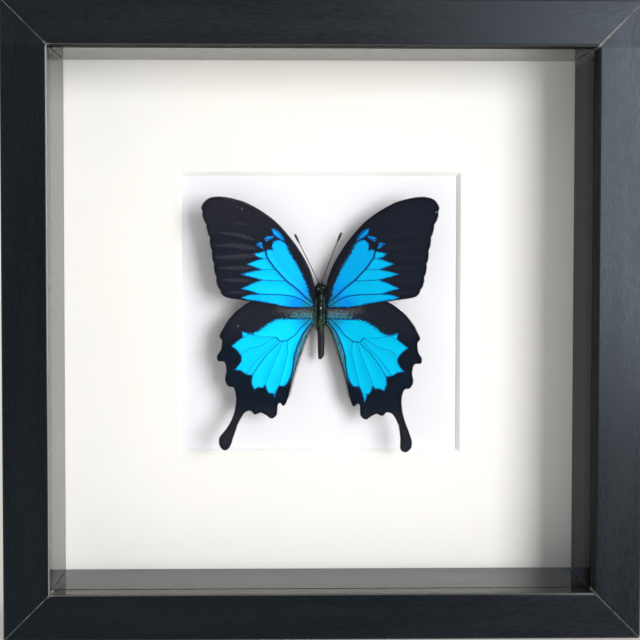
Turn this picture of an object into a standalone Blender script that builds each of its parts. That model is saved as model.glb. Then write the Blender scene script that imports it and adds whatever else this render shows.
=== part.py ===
"""A butterfly specimen pinned in a deep square box frame, standing upright.

Every piece is its own closed solid. The frame's front faces -Y, its bottom edge
stands on z = 0, and x = 0, y = 0 is the middle of the bottom edge.
"""

from math import cos, pi, radians, sin, sqrt

import bmesh
import bpy
from mathutils import Matrix, Vector
from mathutils.geometry import interpolate_bezier

MM = 0.001
GAP = 0.3 * MM  # left between two pieces that touch

# --- Box frame ---------------------------------------------------------------
SIDE = 252 * MM  # outside, both ways
DEPTH = 45 * MM
SIGHT_HALF = 107.7 * MM  # from the middle to the lip's inner edge
SPACER_HALF = SIGHT_HALF + 0.5 * MM  # the spacers stand a little way back from that edge
REBATE_HALF = 115.5 * MM  # from the middle to the rebate's wall
LIP_DEPTH = 6.3 * MM
ARRIS_RADIUS = 0.8 * MM  # rounding of the front edges
BACK_ARRIS = 0.4  # rounding of the other edges, as a share of the front ones
MITRE_TRIM = GAP / sqrt(2)  # each mitred end stops this much short of the corner

# --- What lies in the rebate, front to back -----------------------------------
BOARD_HALF = REBATE_HALF - GAP
GLASS_THICK = 2.0 * MM
MAT_DEPTH = 33.0 * MM  # from the frame's front to the mat's face
MAT_THICK = 1.4 * MM
WINDOW_HALF = 60 * MM  # at the mat's face; its edge slopes in at 45 degrees
WINDOW_RISE = 1.3 * MM  # the window's middle above the frame's middle
CUTTER_REACH = 2.0 * MM  # how far the window's cutter passes both faces of the mat
CARD_THICK = 3.0 * MM
BACK_BOARD_THICK = 3.0 * MM

# --- Fixings on the back --------------------------------------------------------
TAB_LENGTH = 14 * MM
TAB_WIDTH = 8 * MM
TAB_THICK = 0.5 * MM
TAB_SPREAD = 62 * MM  # from the middle of a side to each of its two tabs
HANGER_LENGTH = 44 * MM
HANGER_HEIGHT = 12 * MM
HANGER_THICK = 1.2 * MM
HANGER_RISE = 82 * MM  # above the frame's middle
HANGER_TEETH = 9
TOOTH_DEPTH = 1.3 * MM
TOOTH_PITCH = 3.2 * MM
SLOT_TOP = 2.6 * MM  # the slot's straight edge above the plate's middle
SLOT_FOOT = -1.2 * MM  # the teeth's roots below it

# --- Butterfly -----------------------------------------------------------------
BODY_DEPTH = 29.0 * MM  # from the frame's front to the body's axis
FOREWING_DEPTH = 27.2 * MM  # of the wing's plane, where it meets the body's axis
HINDWING_DEPTH = 28.0 * MM
WING_THICK = 0.4 * MM
DIHEDRAL = radians(8.5)  # each wing rises towards the front, away from the body
HINDWING_TURN = {"left": radians(0.9), "right": radians(-0.9)}
TAIL_BEND = {"left": radians(9.0), "right": radians(-1.5)}
WING_REACH = {"left": 1.009, "right": 0.995}  # each side's width beside the outlines below
TAIL_ROOT = Vector((32.2, -38.6)) * MM
HINDWING_ROOT = Vector((3.5, 0)) * MM
ANTENNA_RADIUS = 0.17 * MM
CLUB_RADIUS = 0.42 * MM
ANTENNA_FOOT = Vector((0.95, 0, 14.75)) * MM
ANTENNA_TIP = {"left": Vector((10.8, -1.8, 34.7)) * MM, "right": Vector((8.7, -1.8, 35.4)) * MM}
ANTENNA_BOW = {"left": -0.2 * MM, "right": 0.5 * MM}
ANTENNA_AHEAD = 0.6 * MM  # its foot, in front of the body's axis
CLUB_START = 0.8  # where the club begins, as a share of the antenna's length
CLUB_SPAN = 0.26  # a full swelling's length, so the tip ends before it has closed
PIN_RADIUS = 0.25 * MM
PIN_HEAD_RADIUS = 0.6 * MM
PIN_HEIGHT = 4.0 * MM  # above the frame's middle
PIN_FRONT = 23.4 * MM  # from the frame's front to the pin's head
PIN_IN_CARD = 2.0 * MM
PIN_POINT = 1.2 * MM  # length of its taper
PIN_BORE_RADIUS = PIN_RADIUS + GAP
BODY_BORE_HALF = 5.0 * MM  # the bore's cutter reaches this far both ways from the body's axis

# The body's outline: distance from its axis, then height above the frame's middle, in mm.
BODY_PROFILE = [
    (0.0, 14.2), (1.2, 13.9), (2.0, 13.0), (2.3, 11.8), (2.0, 10.4), (1.6, 9.4),
    (2.1, 8.5), (2.8, 6.8), (3.1, 4.0), (3.05, 1.0), (2.6, -2.0), (1.9, -4.4),
    (1.35, -5.6), (1.4, -7.5), (1.55, -11.0), (1.45, -14.0), (1.1, -16.4),
    (0.6, -17.5), (0.0, -17.9),
]  # fmt: skip

# A right forewing's edge in mm: out along the leading edge, down the outer margin, back in.
FOREWING_EDGE = [
    (3.3, 13.2), (4.8, 19.4), (7.9, 26.0), (12.4, 32.9), (19.8, 40.8), (29.9, 47.1),
    (40.0, 49.8), (46.2, 49.2), (49.1, 46.0), (48.6, 42.4), (46.9, 38.2), (46.0, 34.0),
    (45.4, 28.4), (44.0, 19.4), (42.6, 13.0), (40.6, 9.5), (38.0, 8.3), (33.0, 7.5),
    (25.5, 6.3), (17.8, 4.7), (12.4, 3.9), (6.0, 3.7), (3.6, 4.6), (3.3, 8.5),
]  # fmt: skip

# A right hindwing's edge down to the tail, the tail, and the scalloped edge back to the body.
HINDWING_FRONT = [
    (3.6, 2.8), (9.0, 4.6), (17.0, 6.8), (24.0, 7.6), (28.6, 6.2), (34.4, 2.6),
    (38.0, -1.1), (40.1, -4.4), (41.8, -8.1), (40.9, -9.9), (41.1, -13.4), (42.7, -16.5),
    (42.3, -18.3), (39.8, -18.9), (38.8, -22.1), (39.3, -26.2), (38.0, -28.8), (35.9, -29.5),
    (34.2, -32.7),
]  # fmt: skip
HINDWING_TAIL = [
    (34.6, -37.6), (36.1, -42.4), (37.9, -46.8), (39.5, -50.8), (39.2, -53.6), (37.3, -55.3),
    (35.2, -54.2), (34.7, -49.2), (33.5, -43.8), (31.2, -40.1),
]  # fmt: skip
HINDWING_REAR = [
    (28.7, -39.3), (26.8, -40.7), (24.6, -40.1), (22.3, -41.0), (20.0, -42.5), (17.9, -41.1),
    (17.4, -37.1), (16.3, -36.1), (14.8, -37.2), (13.2, -34.2), (11.0, -25.3), (7.6, -14.0),
    (4.6, -5.6), (3.4, -2.6),
]  # fmt: skip

SCENE_MIDDLE = Vector((0, 0, SIDE / 2))


def depth_to_y(depth):
    """The y of a plane this far behind the frame's front."""
    return depth - DEPTH / 2


# --- Scene helpers --------------------------------------------------------------
def clear_scene():
    for old in list(bpy.data.objects):
        bpy.data.objects.remove(old, do_unlink=True)


def new_collection(name):
    collection = bpy.data.collections.new(name)
    bpy.context.scene.collection.children.link(collection)
    return collection


def make_material(name, colour, roughness, metallic=0.0, transmission=0.0):
    material = bpy.data.materials.new(name)
    material.use_nodes = True
    shader = material.node_tree.nodes["Principled BSDF"]
    shader.inputs["Base Color"].default_value = (*colour, 1)
    shader.inputs["Roughness"].default_value = roughness
    shader.inputs["Metallic"].default_value = metallic
    shader.inputs["Transmission Weight"].default_value = transmission
    return material


def add_object(name, data, material, collection=None):
    thing = bpy.data.objects.new(name, data)
    (collection or PARTS).objects.link(thing)
    if material:
        data.materials.append(material)
    return thing


def mesh_from(bm, name):
    mesh = bpy.data.meshes.new(name)
    bm.to_mesh(mesh)
    bm.free()
    return mesh


def add_cutter(name, data, location, rotation=(0, 0, 0)):
    """A shape that only cuts others: it isn't rendered or built."""
    cutter = add_object(name, data, None, CUTTERS)
    cutter.location = location
    cutter.rotation_euler = rotation
    cutter.hide_render = True
    cutter.display_type = "WIRE"
    return cutter


def cut(thing, cutter):
    modifier = thing.modifiers.new("cut " + cutter.name, "BOOLEAN")
    modifier.operation = "DIFFERENCE"
    modifier.object = cutter


# --- Frame pieces ----------------------------------------------------------------
def mitred_length(name, section, side, material):
    """One side of a square frame. section lists (distance from the middle, y, edge rounding)."""
    bm = bmesh.new()
    corners = [bm.verts.new((-(r - MITRE_TRIM), y, -r)) for r, y, _ in section]
    near_end = bm.faces.new(corners)
    grown = bmesh.ops.extrude_face_region(bm, geom=[near_end])
    for vert in (v for v in grown["geom"] if isinstance(v, bmesh.types.BMVert)):
        vert.co.x = -vert.co.x
    bmesh.ops.recalc_face_normals(bm, faces=bm.faces)
    rounding = {(round(r, 6), round(y, 6)): share for r, y, share in section}
    weights = bm.edges.layers.float.new("bevel_weight_edge")
    for edge in bm.edges:
        a, b = (v.co for v in edge.verts)
        if abs(a.y - b.y) < GAP and abs(a.z - b.z) < GAP:
            edge[weights] = rounding[(round(-a.z, 6), round(a.y, 6))]
    length = add_object(name, mesh_from(bm, name), material)
    length.location = SCENE_MIDDLE
    length.rotation_euler.y = {"bottom": 0, "left": pi / 2, "top": pi, "right": -pi / 2}[side]
    bevel = length.modifiers.new("rounded edges", "BEVEL")
    bevel.limit_method = "WEIGHT"
    bevel.width = ARRIS_RADIUS
    bevel.segments = 3
    return length


def frame_mouldings():
    """Four L-shaped lengths: a wide face at the front, and a rebate behind its lip."""
    front = depth_to_y(0)
    back = depth_to_y(DEPTH)
    lip_back = depth_to_y(LIP_DEPTH)
    section = [
        (SIDE / 2, front, 1.0),
        (SIGHT_HALF, front, 1.0),
        (SIGHT_HALF, lip_back, BACK_ARRIS),
        (REBATE_HALF, lip_back, 0.0),
        (REBATE_HALF, back, BACK_ARRIS),
        (SIDE / 2, back, BACK_ARRIS),
    ]
    material = make_material("black foil on the frame", (0.012, 0.014, 0.016), 0.42)
    for side in ("top", "bottom", "left", "right"):
        mitred_length("moulding_" + side, section, side, material)


def spacers():
    """Four flat strips that hold the mat away from the glass."""
    front = depth_to_y(LIP_DEPTH + GLASS_THICK + 2 * GAP)
    back = depth_to_y(MAT_DEPTH) - GAP
    section = [
        (BOARD_HALF, front, 0.0),
        (SPACER_HALF, front, 0.0),
        (SPACER_HALF, back, 0.0),
        (BOARD_HALF, back, 0.0),
    ]
    material = make_material("black lacquered spacer", (0.008, 0.009, 0.010), 0.12)
    for side in ("top", "bottom", "left", "right"):
        mitred_length("spacer_" + side, section, side, material)


def board(name, depth, thick, material):
    """A square board that fills the rebate, its face this far behind the frame's front."""
    bm = bmesh.new()
    bmesh.ops.create_cube(bm, size=1)
    bmesh.ops.scale(bm, verts=bm.verts, vec=(2 * BOARD_HALF, thick, 2 * BOARD_HALF))
    sheet = add_object(name, mesh_from(bm, name), material)
    sheet.location = SCENE_MIDDLE + Vector((0, depth_to_y(depth + thick / 2), 0))
    return sheet


def window_cutter():
    """A four-sided taper: the window's edge slopes in at 45 degrees from the mat's face."""
    front_half = WINDOW_HALF + CUTTER_REACH
    back_half = WINDOW_HALF - MAT_THICK - CUTTER_REACH
    bm = bmesh.new()
    bmesh.ops.create_cone(
        bm, cap_ends=True, segments=4, depth=MAT_THICK + 2 * CUTTER_REACH,
        radius1=back_half * sqrt(2), radius2=front_half * sqrt(2),
    )  # fmt: skip
    bmesh.ops.rotate(bm, verts=bm.verts, matrix=Matrix.Rotation(pi / 4, 3, "Z"))
    middle = Vector((0, depth_to_y(MAT_DEPTH + MAT_THICK / 2), WINDOW_RISE))
    return add_cutter("window cutter", mesh_from(bm, "window"), SCENE_MIDDLE + middle, (pi / 2, 0, 0))


def bore_cutter(name, front, back):
    """A round cutter along the pin's axis, between two depths behind the frame's front."""
    bm = bmesh.new()
    bmesh.ops.create_cone(
        bm, cap_ends=True, segments=12, depth=back - front,
        radius1=PIN_BORE_RADIUS, radius2=PIN_BORE_RADIUS,
    )  # fmt: skip
    middle = Vector((0, depth_to_y((front + back) / 2), PIN_HEIGHT))
    return add_cutter(name, mesh_from(bm, name), SCENE_MIDDLE + middle, (pi / 2, 0, 0))


def boards():
    """Glass, window mat, mounting card and back board, each a gap behind the last."""
    glass = make_material("clear glass", (0.98, 0.99, 0.98), 0.0, transmission=1.0)
    board("glass_pane", LIP_DEPTH + GAP, GLASS_THICK, glass)
    mat_board = make_material("ivory mat board", (0.92, 0.90, 0.84), 0.85)
    mat = board("window_mat", MAT_DEPTH, MAT_THICK, mat_board)
    cut(mat, window_cutter())
    card_front = MAT_DEPTH + MAT_THICK + GAP
    white_card = make_material("white foam card", (0.93, 0.93, 0.95), 0.75)
    card = board("mounting_card", card_front, CARD_THICK, white_card)
    pin_end = card_front + PIN_IN_CARD
    cut(card, bore_cutter("pin hole in the card", card_front - GAP, pin_end + GAP))
    back_front = card_front + CARD_THICK + GAP
    hardboard = make_material("brown hardboard", (0.23, 0.13, 0.07), 0.8)
    board("back_board", back_front, BACK_BOARD_THICK, hardboard)
    return back_front + BACK_BOARD_THICK + GAP, pin_end


# --- Back fixings ------------------------------------------------------------------
def flat_outline(name, loops, thick, material):
    """A flat plate from closed outlines in metres, standing in the XZ plane."""
    curve = bpy.data.curves.new(name, "CURVE")
    curve.dimensions = "2D"
    curve.fill_mode = "BOTH"
    curve.extrude = thick / 2
    for loop in loops:
        spline = curve.splines.new("POLY")
        spline.points.add(len(loop) - 1)
        for point, (x, y) in zip(spline.points, loop):
            point.co = (x, y, 0, 1)
        spline.use_cyclic_u = True
    plate = add_object(name, curve, material)
    plate.rotation_euler.x = pi / 2
    return plate


def rounded_end_outline(length, width):
    """A strip from its foot at y = 0 to a round end at y = length."""
    radius = width / 2
    steps = 8
    arc = [i * pi / steps for i in range(steps + 1)]
    tip = [(radius * cos(a), length - radius + radius * sin(a)) for a in arc]
    return [(-radius, 0), (radius, 0), *tip]


def back_tabs(depth):
    """Two bendable steel tabs on each side, which hold the back board in."""
    steel = make_material("zinc plated steel", (0.55, 0.55, 0.53), 0.35, metallic=1.0)
    number = 0
    for quarter in range(4):
        turn = quarter * pi / 2
        for sideways in (-TAB_SPREAD, TAB_SPREAD):
            number += 1
            outline = rounded_end_outline(TAB_LENGTH, TAB_WIDTH)
            tab = flat_outline(f"back_tab_{number}", [outline], TAB_THICK, steel)
            foot = Vector((sideways, depth_to_y(depth + TAB_THICK / 2), -BOARD_HALF))
            tab.location = SCENE_MIDDLE + Matrix.Rotation(turn, 3, "Y") @ foot
            tab.rotation_euler = (pi / 2, turn, 0)
    return steel


def hanger(depth, steel):
    """A plate with a toothed slot, which hooks over a nail."""
    half_length = HANGER_LENGTH / 2
    half_height = HANGER_HEIGHT / 2
    cut_off = half_height / 2
    plate = [
        (-half_length, -cut_off), (-half_length + cut_off, -half_height),
        (half_length - cut_off, -half_height), (half_length, -cut_off),
        (half_length, cut_off), (half_length - cut_off, half_height),
        (-half_length + cut_off, half_height), (-half_length, cut_off),
    ]  # fmt: skip
    first = -TOOTH_PITCH * HANGER_TEETH / 2
    slot = [(first, SLOT_TOP), (first, SLOT_FOOT)]
    for tooth in range(HANGER_TEETH):
        middle = first + TOOTH_PITCH * (tooth + 0.5)
        slot += [(middle, SLOT_FOOT + TOOTH_DEPTH), (middle + TOOTH_PITCH / 2, SLOT_FOOT)]
    slot.append((-first, SLOT_TOP))
    thing = flat_outline("hanger_plate", [plate, slot], HANGER_THICK, steel)
    spot = Vector((0, depth_to_y(depth + HANGER_THICK / 2), HANGER_RISE))
    thing.location = SCENE_MIDDLE + spot


# --- Butterfly -----------------------------------------------------------------------
def turned(name, profile, steps, material):
    """A solid of revolution about its own Z. profile lists (radius, height), top to bottom."""
    bm = bmesh.new()
    points = [bm.verts.new((radius, 0, height)) for radius, height in profile]
    for upper, lower in zip(points, points[1:]):
        bm.edges.new((upper, lower))
    thing = add_object(name, mesh_from(bm, name), material)
    screw = thing.modifiers.new("turned", "SCREW")
    screw.steps = steps
    screw.render_steps = steps
    screw.use_merge_vertices = True
    screw.merge_threshold = 0.01 * MM
    return thing


def smooth_loop(points, per_span=3):
    """A closed curve through points in mm, as points in metres."""
    smoothed = []
    count = len(points)
    knots = [Vector((x, y, 0)) * MM for x, y in points]
    for i, here in enumerate(knots):
        before, after, beyond = knots[i - 1], knots[(i + 1) % count], knots[(i + 2) % count]
        leave = here + (after - before) / 6
        arrive = after - (beyond - here) / 6
        span = interpolate_bezier(here, leave, arrive, after, per_span + 1)
        smoothed += [(p.x, p.y) for p in span[:-1]]
    return smoothed


def turned_about(point, middle, angle):
    """A flat point in metres, turned about another."""
    away = Vector(point) - middle
    x = away.x * cos(angle) - away.y * sin(angle)
    y = away.x * sin(angle) + away.y * cos(angle)
    return (middle.x + x, middle.y + y)


def hindwing_outline(side):
    """The hindwing's edge, its tail bent about the tail's root and the whole turned a little."""
    bend = TAIL_BEND[side]
    tail = [turned_about(Vector(p) * MM, TAIL_ROOT, bend) for p in HINDWING_TAIL]
    tail = [(x / MM, y / MM) for x, y in tail]
    edge = smooth_loop(HINDWING_FRONT + tail + HINDWING_REAR, 2)
    return [turned_about(p, HINDWING_ROOT, HINDWING_TURN[side]) for p in edge]


def wing(name, side, outline, depth, material):
    """A thin closed sheet, mirrored for the left side and raised by the dihedral."""
    hand = 1 if side == "right" else -1
    reach = hand * WING_REACH[side]
    sheet = flat_outline(name, [[(reach * x, y) for x, y in outline]], WING_THICK, material)
    sheet.location = SCENE_MIDDLE + Vector((0, depth_to_y(depth), 0))
    sheet.rotation_euler = (pi / 2, 0, -hand * DIHEDRAL)


def wings():
    blue = make_material("blue wing scales", (0.0, 0.42, 0.80), 0.4)
    for side in ("left", "right"):
        wing("forewing_" + side, side, smooth_loop(FOREWING_EDGE), FOREWING_DEPTH, blue)
        outline = hindwing_outline(side)
        wing("hindwing_" + side, side, outline, HINDWING_DEPTH, blue)


def body():
    """Head, thorax and abdomen in one, bored for the pin."""
    dark = make_material("black chitin", (0.015, 0.022, 0.018), 0.6)
    profile = [(radius * MM, height * MM) for radius, height in BODY_PROFILE]
    thing = turned("butterfly_body", profile, 20, dark)
    thing.location = SCENE_MIDDLE + Vector((0, depth_to_y(BODY_DEPTH), 0))
    front = BODY_DEPTH - BODY_BORE_HALF
    back = BODY_DEPTH + BODY_BORE_HALF
    cut(thing, bore_cutter("pin hole in the body", front, back))
    return dark


def antenna(side, material):
    """A thin bowed rod that ends in a club."""
    hand = 1 if side == "right" else -1
    tip = ANTENNA_TIP[side]
    count = 14
    curve = bpy.data.curves.new("antenna_" + side, "CURVE")
    curve.dimensions = "3D"
    curve.bevel_depth = 1
    curve.bevel_resolution = 2
    curve.use_fill_caps = True
    spline = curve.splines.new("POLY")
    spline.points.add(count - 1)
    for i, point in enumerate(spline.points):
        along = i / (count - 1)
        spot = ANTENNA_FOOT.lerp(tip, along)
        spot.x += ANTENNA_BOW[side] * sin(pi * along)
        point.co = (hand * spot.x, spot.y, spot.z, 1)
        club = sin(pi * max(0, along - CLUB_START) / CLUB_SPAN)
        point.radius = ANTENNA_RADIUS + (CLUB_RADIUS - ANTENNA_RADIUS) * club
    rod = add_object("antenna_" + side, curve, material)
    rod.location = SCENE_MIDDLE + Vector((0, depth_to_y(BODY_DEPTH - ANTENNA_AHEAD), 0))


def insect_pin(pin_end):
    """A thin steel pin with a ball head, from in front of the thorax into the card."""
    steel = make_material("pin steel", (0.6, 0.6, 0.58), 0.25, metallic=1.0)
    length = pin_end - PIN_FRONT
    steps = 6
    arc = [i * pi / steps for i in range(steps)]
    ball = [(PIN_HEAD_RADIUS * sin(a), PIN_HEAD_RADIUS * (cos(a) - 1)) for a in arc]
    shaft = [
        (PIN_RADIUS, ball[-1][1]),
        (PIN_RADIUS, -length + PIN_POINT),
        (0, -length),
    ]
    head = [spot for spot in ball if spot[0] > PIN_RADIUS or spot[1] > -PIN_HEAD_RADIUS]
    pin = turned("insect_pin", head + shaft, 12, steel)
    pin.rotation_euler.x = pi / 2
    pin.location = SCENE_MIDDLE + Vector((0, depth_to_y(PIN_FRONT), PIN_HEIGHT))


clear_scene()
PARTS = new_collection("framed butterfly specimen")
CUTTERS = new_collection("cutters")
frame_mouldings()
spacers()
tab_depth, pin_end_depth = boards()
plated_steel = back_tabs(tab_depth)
hanger(tab_depth, plated_steel)
wings()
body_material = body()
for antenna_side in ("left", "right"):
    antenna(antenna_side, body_material)
insect_pin(pin_end_depth)
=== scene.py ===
# %% [markdown]
# # A swallowtail butterfly in a deep box frame
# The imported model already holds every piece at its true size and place. This lesson
# keeps the hard pieces (mouldings, glass, boards, fixings) and gives them finishes. It
# builds the butterfly again with fine meshes, because scales, veins and hair are what
# people look at.

# %% Load the frame
from functools import partial
from math import asin, cos, pi, radians, sin, sqrt

import bmesh
import bpy
import numpy as np
from mathutils import Matrix, Vector, noise
from mathutils.geometry import delaunay_2d_cdt, interpolate_bezier


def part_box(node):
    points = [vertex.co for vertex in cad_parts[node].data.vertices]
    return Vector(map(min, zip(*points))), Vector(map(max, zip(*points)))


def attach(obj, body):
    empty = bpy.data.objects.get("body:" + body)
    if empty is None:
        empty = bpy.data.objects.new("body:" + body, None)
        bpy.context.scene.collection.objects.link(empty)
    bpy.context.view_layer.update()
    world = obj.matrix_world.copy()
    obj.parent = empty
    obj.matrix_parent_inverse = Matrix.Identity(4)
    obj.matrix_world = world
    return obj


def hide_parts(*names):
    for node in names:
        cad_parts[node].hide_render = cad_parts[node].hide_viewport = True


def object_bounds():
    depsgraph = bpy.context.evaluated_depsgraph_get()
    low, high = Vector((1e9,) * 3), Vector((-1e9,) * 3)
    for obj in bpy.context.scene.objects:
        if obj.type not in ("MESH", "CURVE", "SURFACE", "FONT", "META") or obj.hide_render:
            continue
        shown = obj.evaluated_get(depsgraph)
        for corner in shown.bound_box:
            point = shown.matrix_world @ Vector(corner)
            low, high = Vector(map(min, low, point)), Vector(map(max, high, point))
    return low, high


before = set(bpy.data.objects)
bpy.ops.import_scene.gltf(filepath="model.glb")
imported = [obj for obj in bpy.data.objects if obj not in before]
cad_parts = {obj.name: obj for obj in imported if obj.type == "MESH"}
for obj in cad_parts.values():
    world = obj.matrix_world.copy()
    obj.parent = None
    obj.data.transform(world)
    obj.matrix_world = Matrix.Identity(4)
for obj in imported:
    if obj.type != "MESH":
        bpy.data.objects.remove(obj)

cad_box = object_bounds()
print("CAD nodes:", len(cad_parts))

# %% [markdown]
# ## Sizes and colours
# The frame's front is at the lowest y and its middle is half its height above the
# floor. Colours are picked as hex values, as in any paint program, but shaders work in
# linear light, so one function converts them.

# %% Places and colours
MM = 0.001
low, high = cad_box
MIDDLE = Vector((0, 0, (low.z + high.z) / 2))
FRONT = low.y
SIGHT_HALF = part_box("moulding_right")[0].x / MM  # from the middle to the lip's inner edge
OUTER_HALF = round(high.x / MM, 3)
LIP_DEPTH = 6.3
REBATE_HALF = 115.5
SIDES = ("top", "bottom", "left", "right")
HANDS = {"left": -1, "right": 1}


def linear(picked):
    """A hex colour such as "#1B6FA8" as linear red, green, blue and alpha."""
    shares = [int(picked[i : i + 2], 16) / 255 for i in (1, 3, 5)]
    bent = [s / 12.92 if s <= 0.04045 else ((s + 0.055) / 1.055) ** 2.4 for s in shares]
    return (*bent, 1.0)


print("sight edge, mm:", round(SIGHT_HALF, 1))

# %% [markdown]
# ## One helper for every shader node
# A node has settings, such as how it blends, and inputs, which take a value or another
# node's result. Writing both in one call keeps a material readable as a recipe. Blender
# names settings in small letters and inputs with a capital, so one list of names will
# do for both. Inputs without a name are filled in the order that the node shows.

# %% The node helper
MODES = {
    "Math": "operation", "VectorMath": "operation", "Mix": "data_type",
    "MapRange": "interpolation_type", "Attribute": "attribute_name",
}


def add_node(tree, kind, *values, result=None, size=None, **named):
    """Adds a shader node and returns one of its results: the first, or the one named.
    A second word in kind is the node's mode, and size is a noise's grain in mm."""
    kind, *mode = kind.split()
    node = tree.nodes.new("ShaderNode" + kind)
    for word in mode:
        setattr(node, MODES[kind], word)
    for name in [name for name in named if name.islower()]:
        setattr(node, name, named.pop(name))
    if size:
        named["Scale"] = 1 / (size * MM)
    connect(node, *values, **named)
    results = [socket for socket in node.outputs if socket.enabled]
    return next(socket for socket in results if result in (None, socket.name))


def connect(node, *values, **named):
    """Links or sets a node's inputs. From and To take both ends of a range."""
    live = [socket for socket in node.inputs if socket.enabled]
    pairs = list(zip(live, values))
    by_name = {socket.name: socket for socket in live}
    for name, value in named.items():
        if name in ("From", "To"):
            pairs += [(by_name[name + " Min"], value[0]), (by_name[name + " Max"], value[1])]
        else:
            pairs.append((by_name[name.replace("_", " ")], value))
    for socket, value in pairs:
        if isinstance(value, bpy.types.NodeSocket):
            node.id_data.links.new(value, socket)
        else:
            socket.default_value = linear(value) if isinstance(value, str) else value


# %% [markdown]
# ## Starting a material, and standing things on the frame
# Every material begins with one Principled shader and with each point's place on the
# object, which its patterns follow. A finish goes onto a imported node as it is. A new
# mesh is set on the frame instead, where it stands in for the node of its own name.

# %% Materials, finishes and new pieces
def start_material(name, **plain):
    """A material with the values that are the same all over. Comes with its node helper,
    each point's place on the object, and its Principled shader."""
    material = bpy.data.materials.new(name)
    material.use_nodes = True
    add = partial(add_node, material.node_tree)
    shader = material.node_tree.nodes["Principled BSDF"]
    connect(shader, **plain)
    return material, add, add("TexCoord", result="Object"), shader


def finish(material, *names):
    """Gives the CAD nodes with these names their finish."""
    for name in names:
        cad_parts[name].data.materials[0] = material


def install(name, mesh, materials, location=(0, 0, 0), turn=(0, 0, 0)):
    """Stands a mesh on the frame, instead of the CAD node of the same name if there is one."""
    for material in materials:
        mesh.materials.append(material)
    thing = bpy.data.objects.new(name, mesh)
    thing.location, thing.rotation_euler = location, turn
    scene.collection.objects.link(thing)
    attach(thing, "root")
    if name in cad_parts:
        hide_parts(name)
    return thing


# %% [markdown]
# ## The studio
# The camera stands close, a little left of the middle and a little above it. A tall
# window of soft light stands to the right: it throws the broad shadows inside the box.
# The room behind the camera is dim, because the glass and the foil mirror it.

# %% Camera
scene = bpy.context.scene
camera_data = bpy.data.cameras.new("studio camera")
camera_data.sensor_width = 36
camera_data.lens = 53.4375
camera_data.shift_x = 0.0517
camera_data.shift_y = -0.0716
camera_data.dof.use_dof = False
camera = bpy.data.objects.new("studio camera", camera_data)
camera.location = MIDDLE + Vector((-0.0199, -0.3938, 0.0279))
camera.rotation_euler = (radians(88.57), radians(-0.031), radians(-0.839))
scene.collection.objects.link(camera)
scene.camera = camera
scene.view_settings.view_transform = "Standard"
print("camera to glass, mm:", round((FRONT - camera.location.y) / MM))

# %% Window light
WINDOW_AWAY = 2.2
WINDOW_SIZE = (1.0, 1.36)
bearing = radians(34.5)
window_data = bpy.data.lights.new("tall window light", "AREA")
window_data.shape = "RECTANGLE"
window_data.size, window_data.size_y = WINDOW_SIZE
window_data.energy = 45.5
window_data.color = (0.975, 0.985, 1.0)
window_light = bpy.data.objects.new("tall window light", window_data)
window_light.location = MIDDLE + WINDOW_AWAY * Vector((sin(bearing), -cos(bearing), 0.16))
window_light.rotation_euler = (MIDDLE - window_light.location).to_track_quat("-Z", "Y").to_euler()
scene.collection.objects.link(window_light)

# %% Room light
room = bpy.data.worlds.new("pale room")
room.use_nodes = True
add = partial(add_node, room.node_tree)
direction = add("TexCoord", result="Generated")
straight_ahead = add("VectorMath DOT_PRODUCT", direction, (0, -1, 0), result="Value")
behind_camera = add("MapRange SMOOTHSTEP", straight_ahead, From=(cos(radians(52)), cos(radians(28))))
looking = {axis: add("SeparateXYZ", direction, result=axis) for axis in "XZ"}
low_share = add("MapRange", looking["Z"], From=(-0.16, -0.34))
left_share = add("MapRange", looking["X"], From=(0.34, 0.05))
low_left = add("Math MULTIPLY", low_share, left_share)
off_centre = add("MapRange", straight_ahead, From=(cos(radians(10)), cos(radians(17))))
corner_colour = add("Mix RGBA", low_left, (0.135, 0.145, 0.195, 1), (0.05, 0.2, 0.27, 1))
dim_corner = add("Mix RGBA", off_centre, (0.02, 0.024, 0.03, 1), corner_colour)
room_colour = add("Mix RGBA", behind_camera, (0.8, 0.77, 0.74, 1), dim_corner)
seen_directly = add("LightPath", result="Is Camera Ray")
shown_colour = add("Mix RGBA", seen_directly, room_colour, "#E1E8E4")
connect(room.node_tree.nodes["Background"], Color=shown_colour, Strength=1.0)
scene.world = room

# %% Floor
floor_mesh = bpy.data.meshes.new("floor")
reach = 2.5
floor_mesh.from_pydata(
    [(-reach, -reach, 0), (reach, -reach, 0), (reach, reach, 0), (-reach, reach, 0)], [], [(0, 1, 2, 3)]
)
floor = bpy.data.objects.new("floor", floor_mesh)
scene.collection.objects.link(floor)
floor.visible_shadow = False  # the window light reaches lower than the table does
floor.visible_glossy = False  # and the glass mirrors the dim room, not the table
floor.visible_transmission = False
painted, add, spot, shader = start_material("matt painted table", Roughness=0.7)
cloudy = add("TexNoise", spot, Scale=9.0, Detail=6.0)
paint = add("Mix RGBA", cloudy, "#F0F3F0", "#F7F9F6")
connect(shader, Base_Color=paint)
floor_mesh.materials.append(painted)
print("studio: camera, window, room and floor")

# %% [markdown]
# ## Foil on the mouldings
# A frame like this is MDF wrapped in a printed black foil. The foil is half gloss, with
# a fine grain along each length. At the mitres the saw has cut through it, so a pale
# line of board shows, with chips beside it. A thin pale line along the lip's front edge
# is a painted highlight: strongest on the left bar, faint on top and bottom, and nearly
# gone on the right. The pattern is worked out from each point's place: its distance to
# the nearest 45 degree mitre, and whether it is on an upright.

# %% Where a point is on the mouldings
foil, add, spot, shader = start_material("black foil over MDF", IOR=1.5)
apart = add("SeparateXYZ", spot).node.outputs
rise = add("Math SUBTRACT", apart["Z"], MIDDLE.z)
sideways = add("Math ABSOLUTE", apart["X"])
upwards = add("Math ABSOLUTE", rise)
upright = add("Math GREATER_THAN", sideways, upwards)
outwards = add("Math MAXIMUM", sideways, upwards)
difference = add("Math SUBTRACT", sideways, upwards)
from_mitre = add("Math ABSOLUTE", difference)
along = add("Mix", upright, apart["X"], rise)

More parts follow.
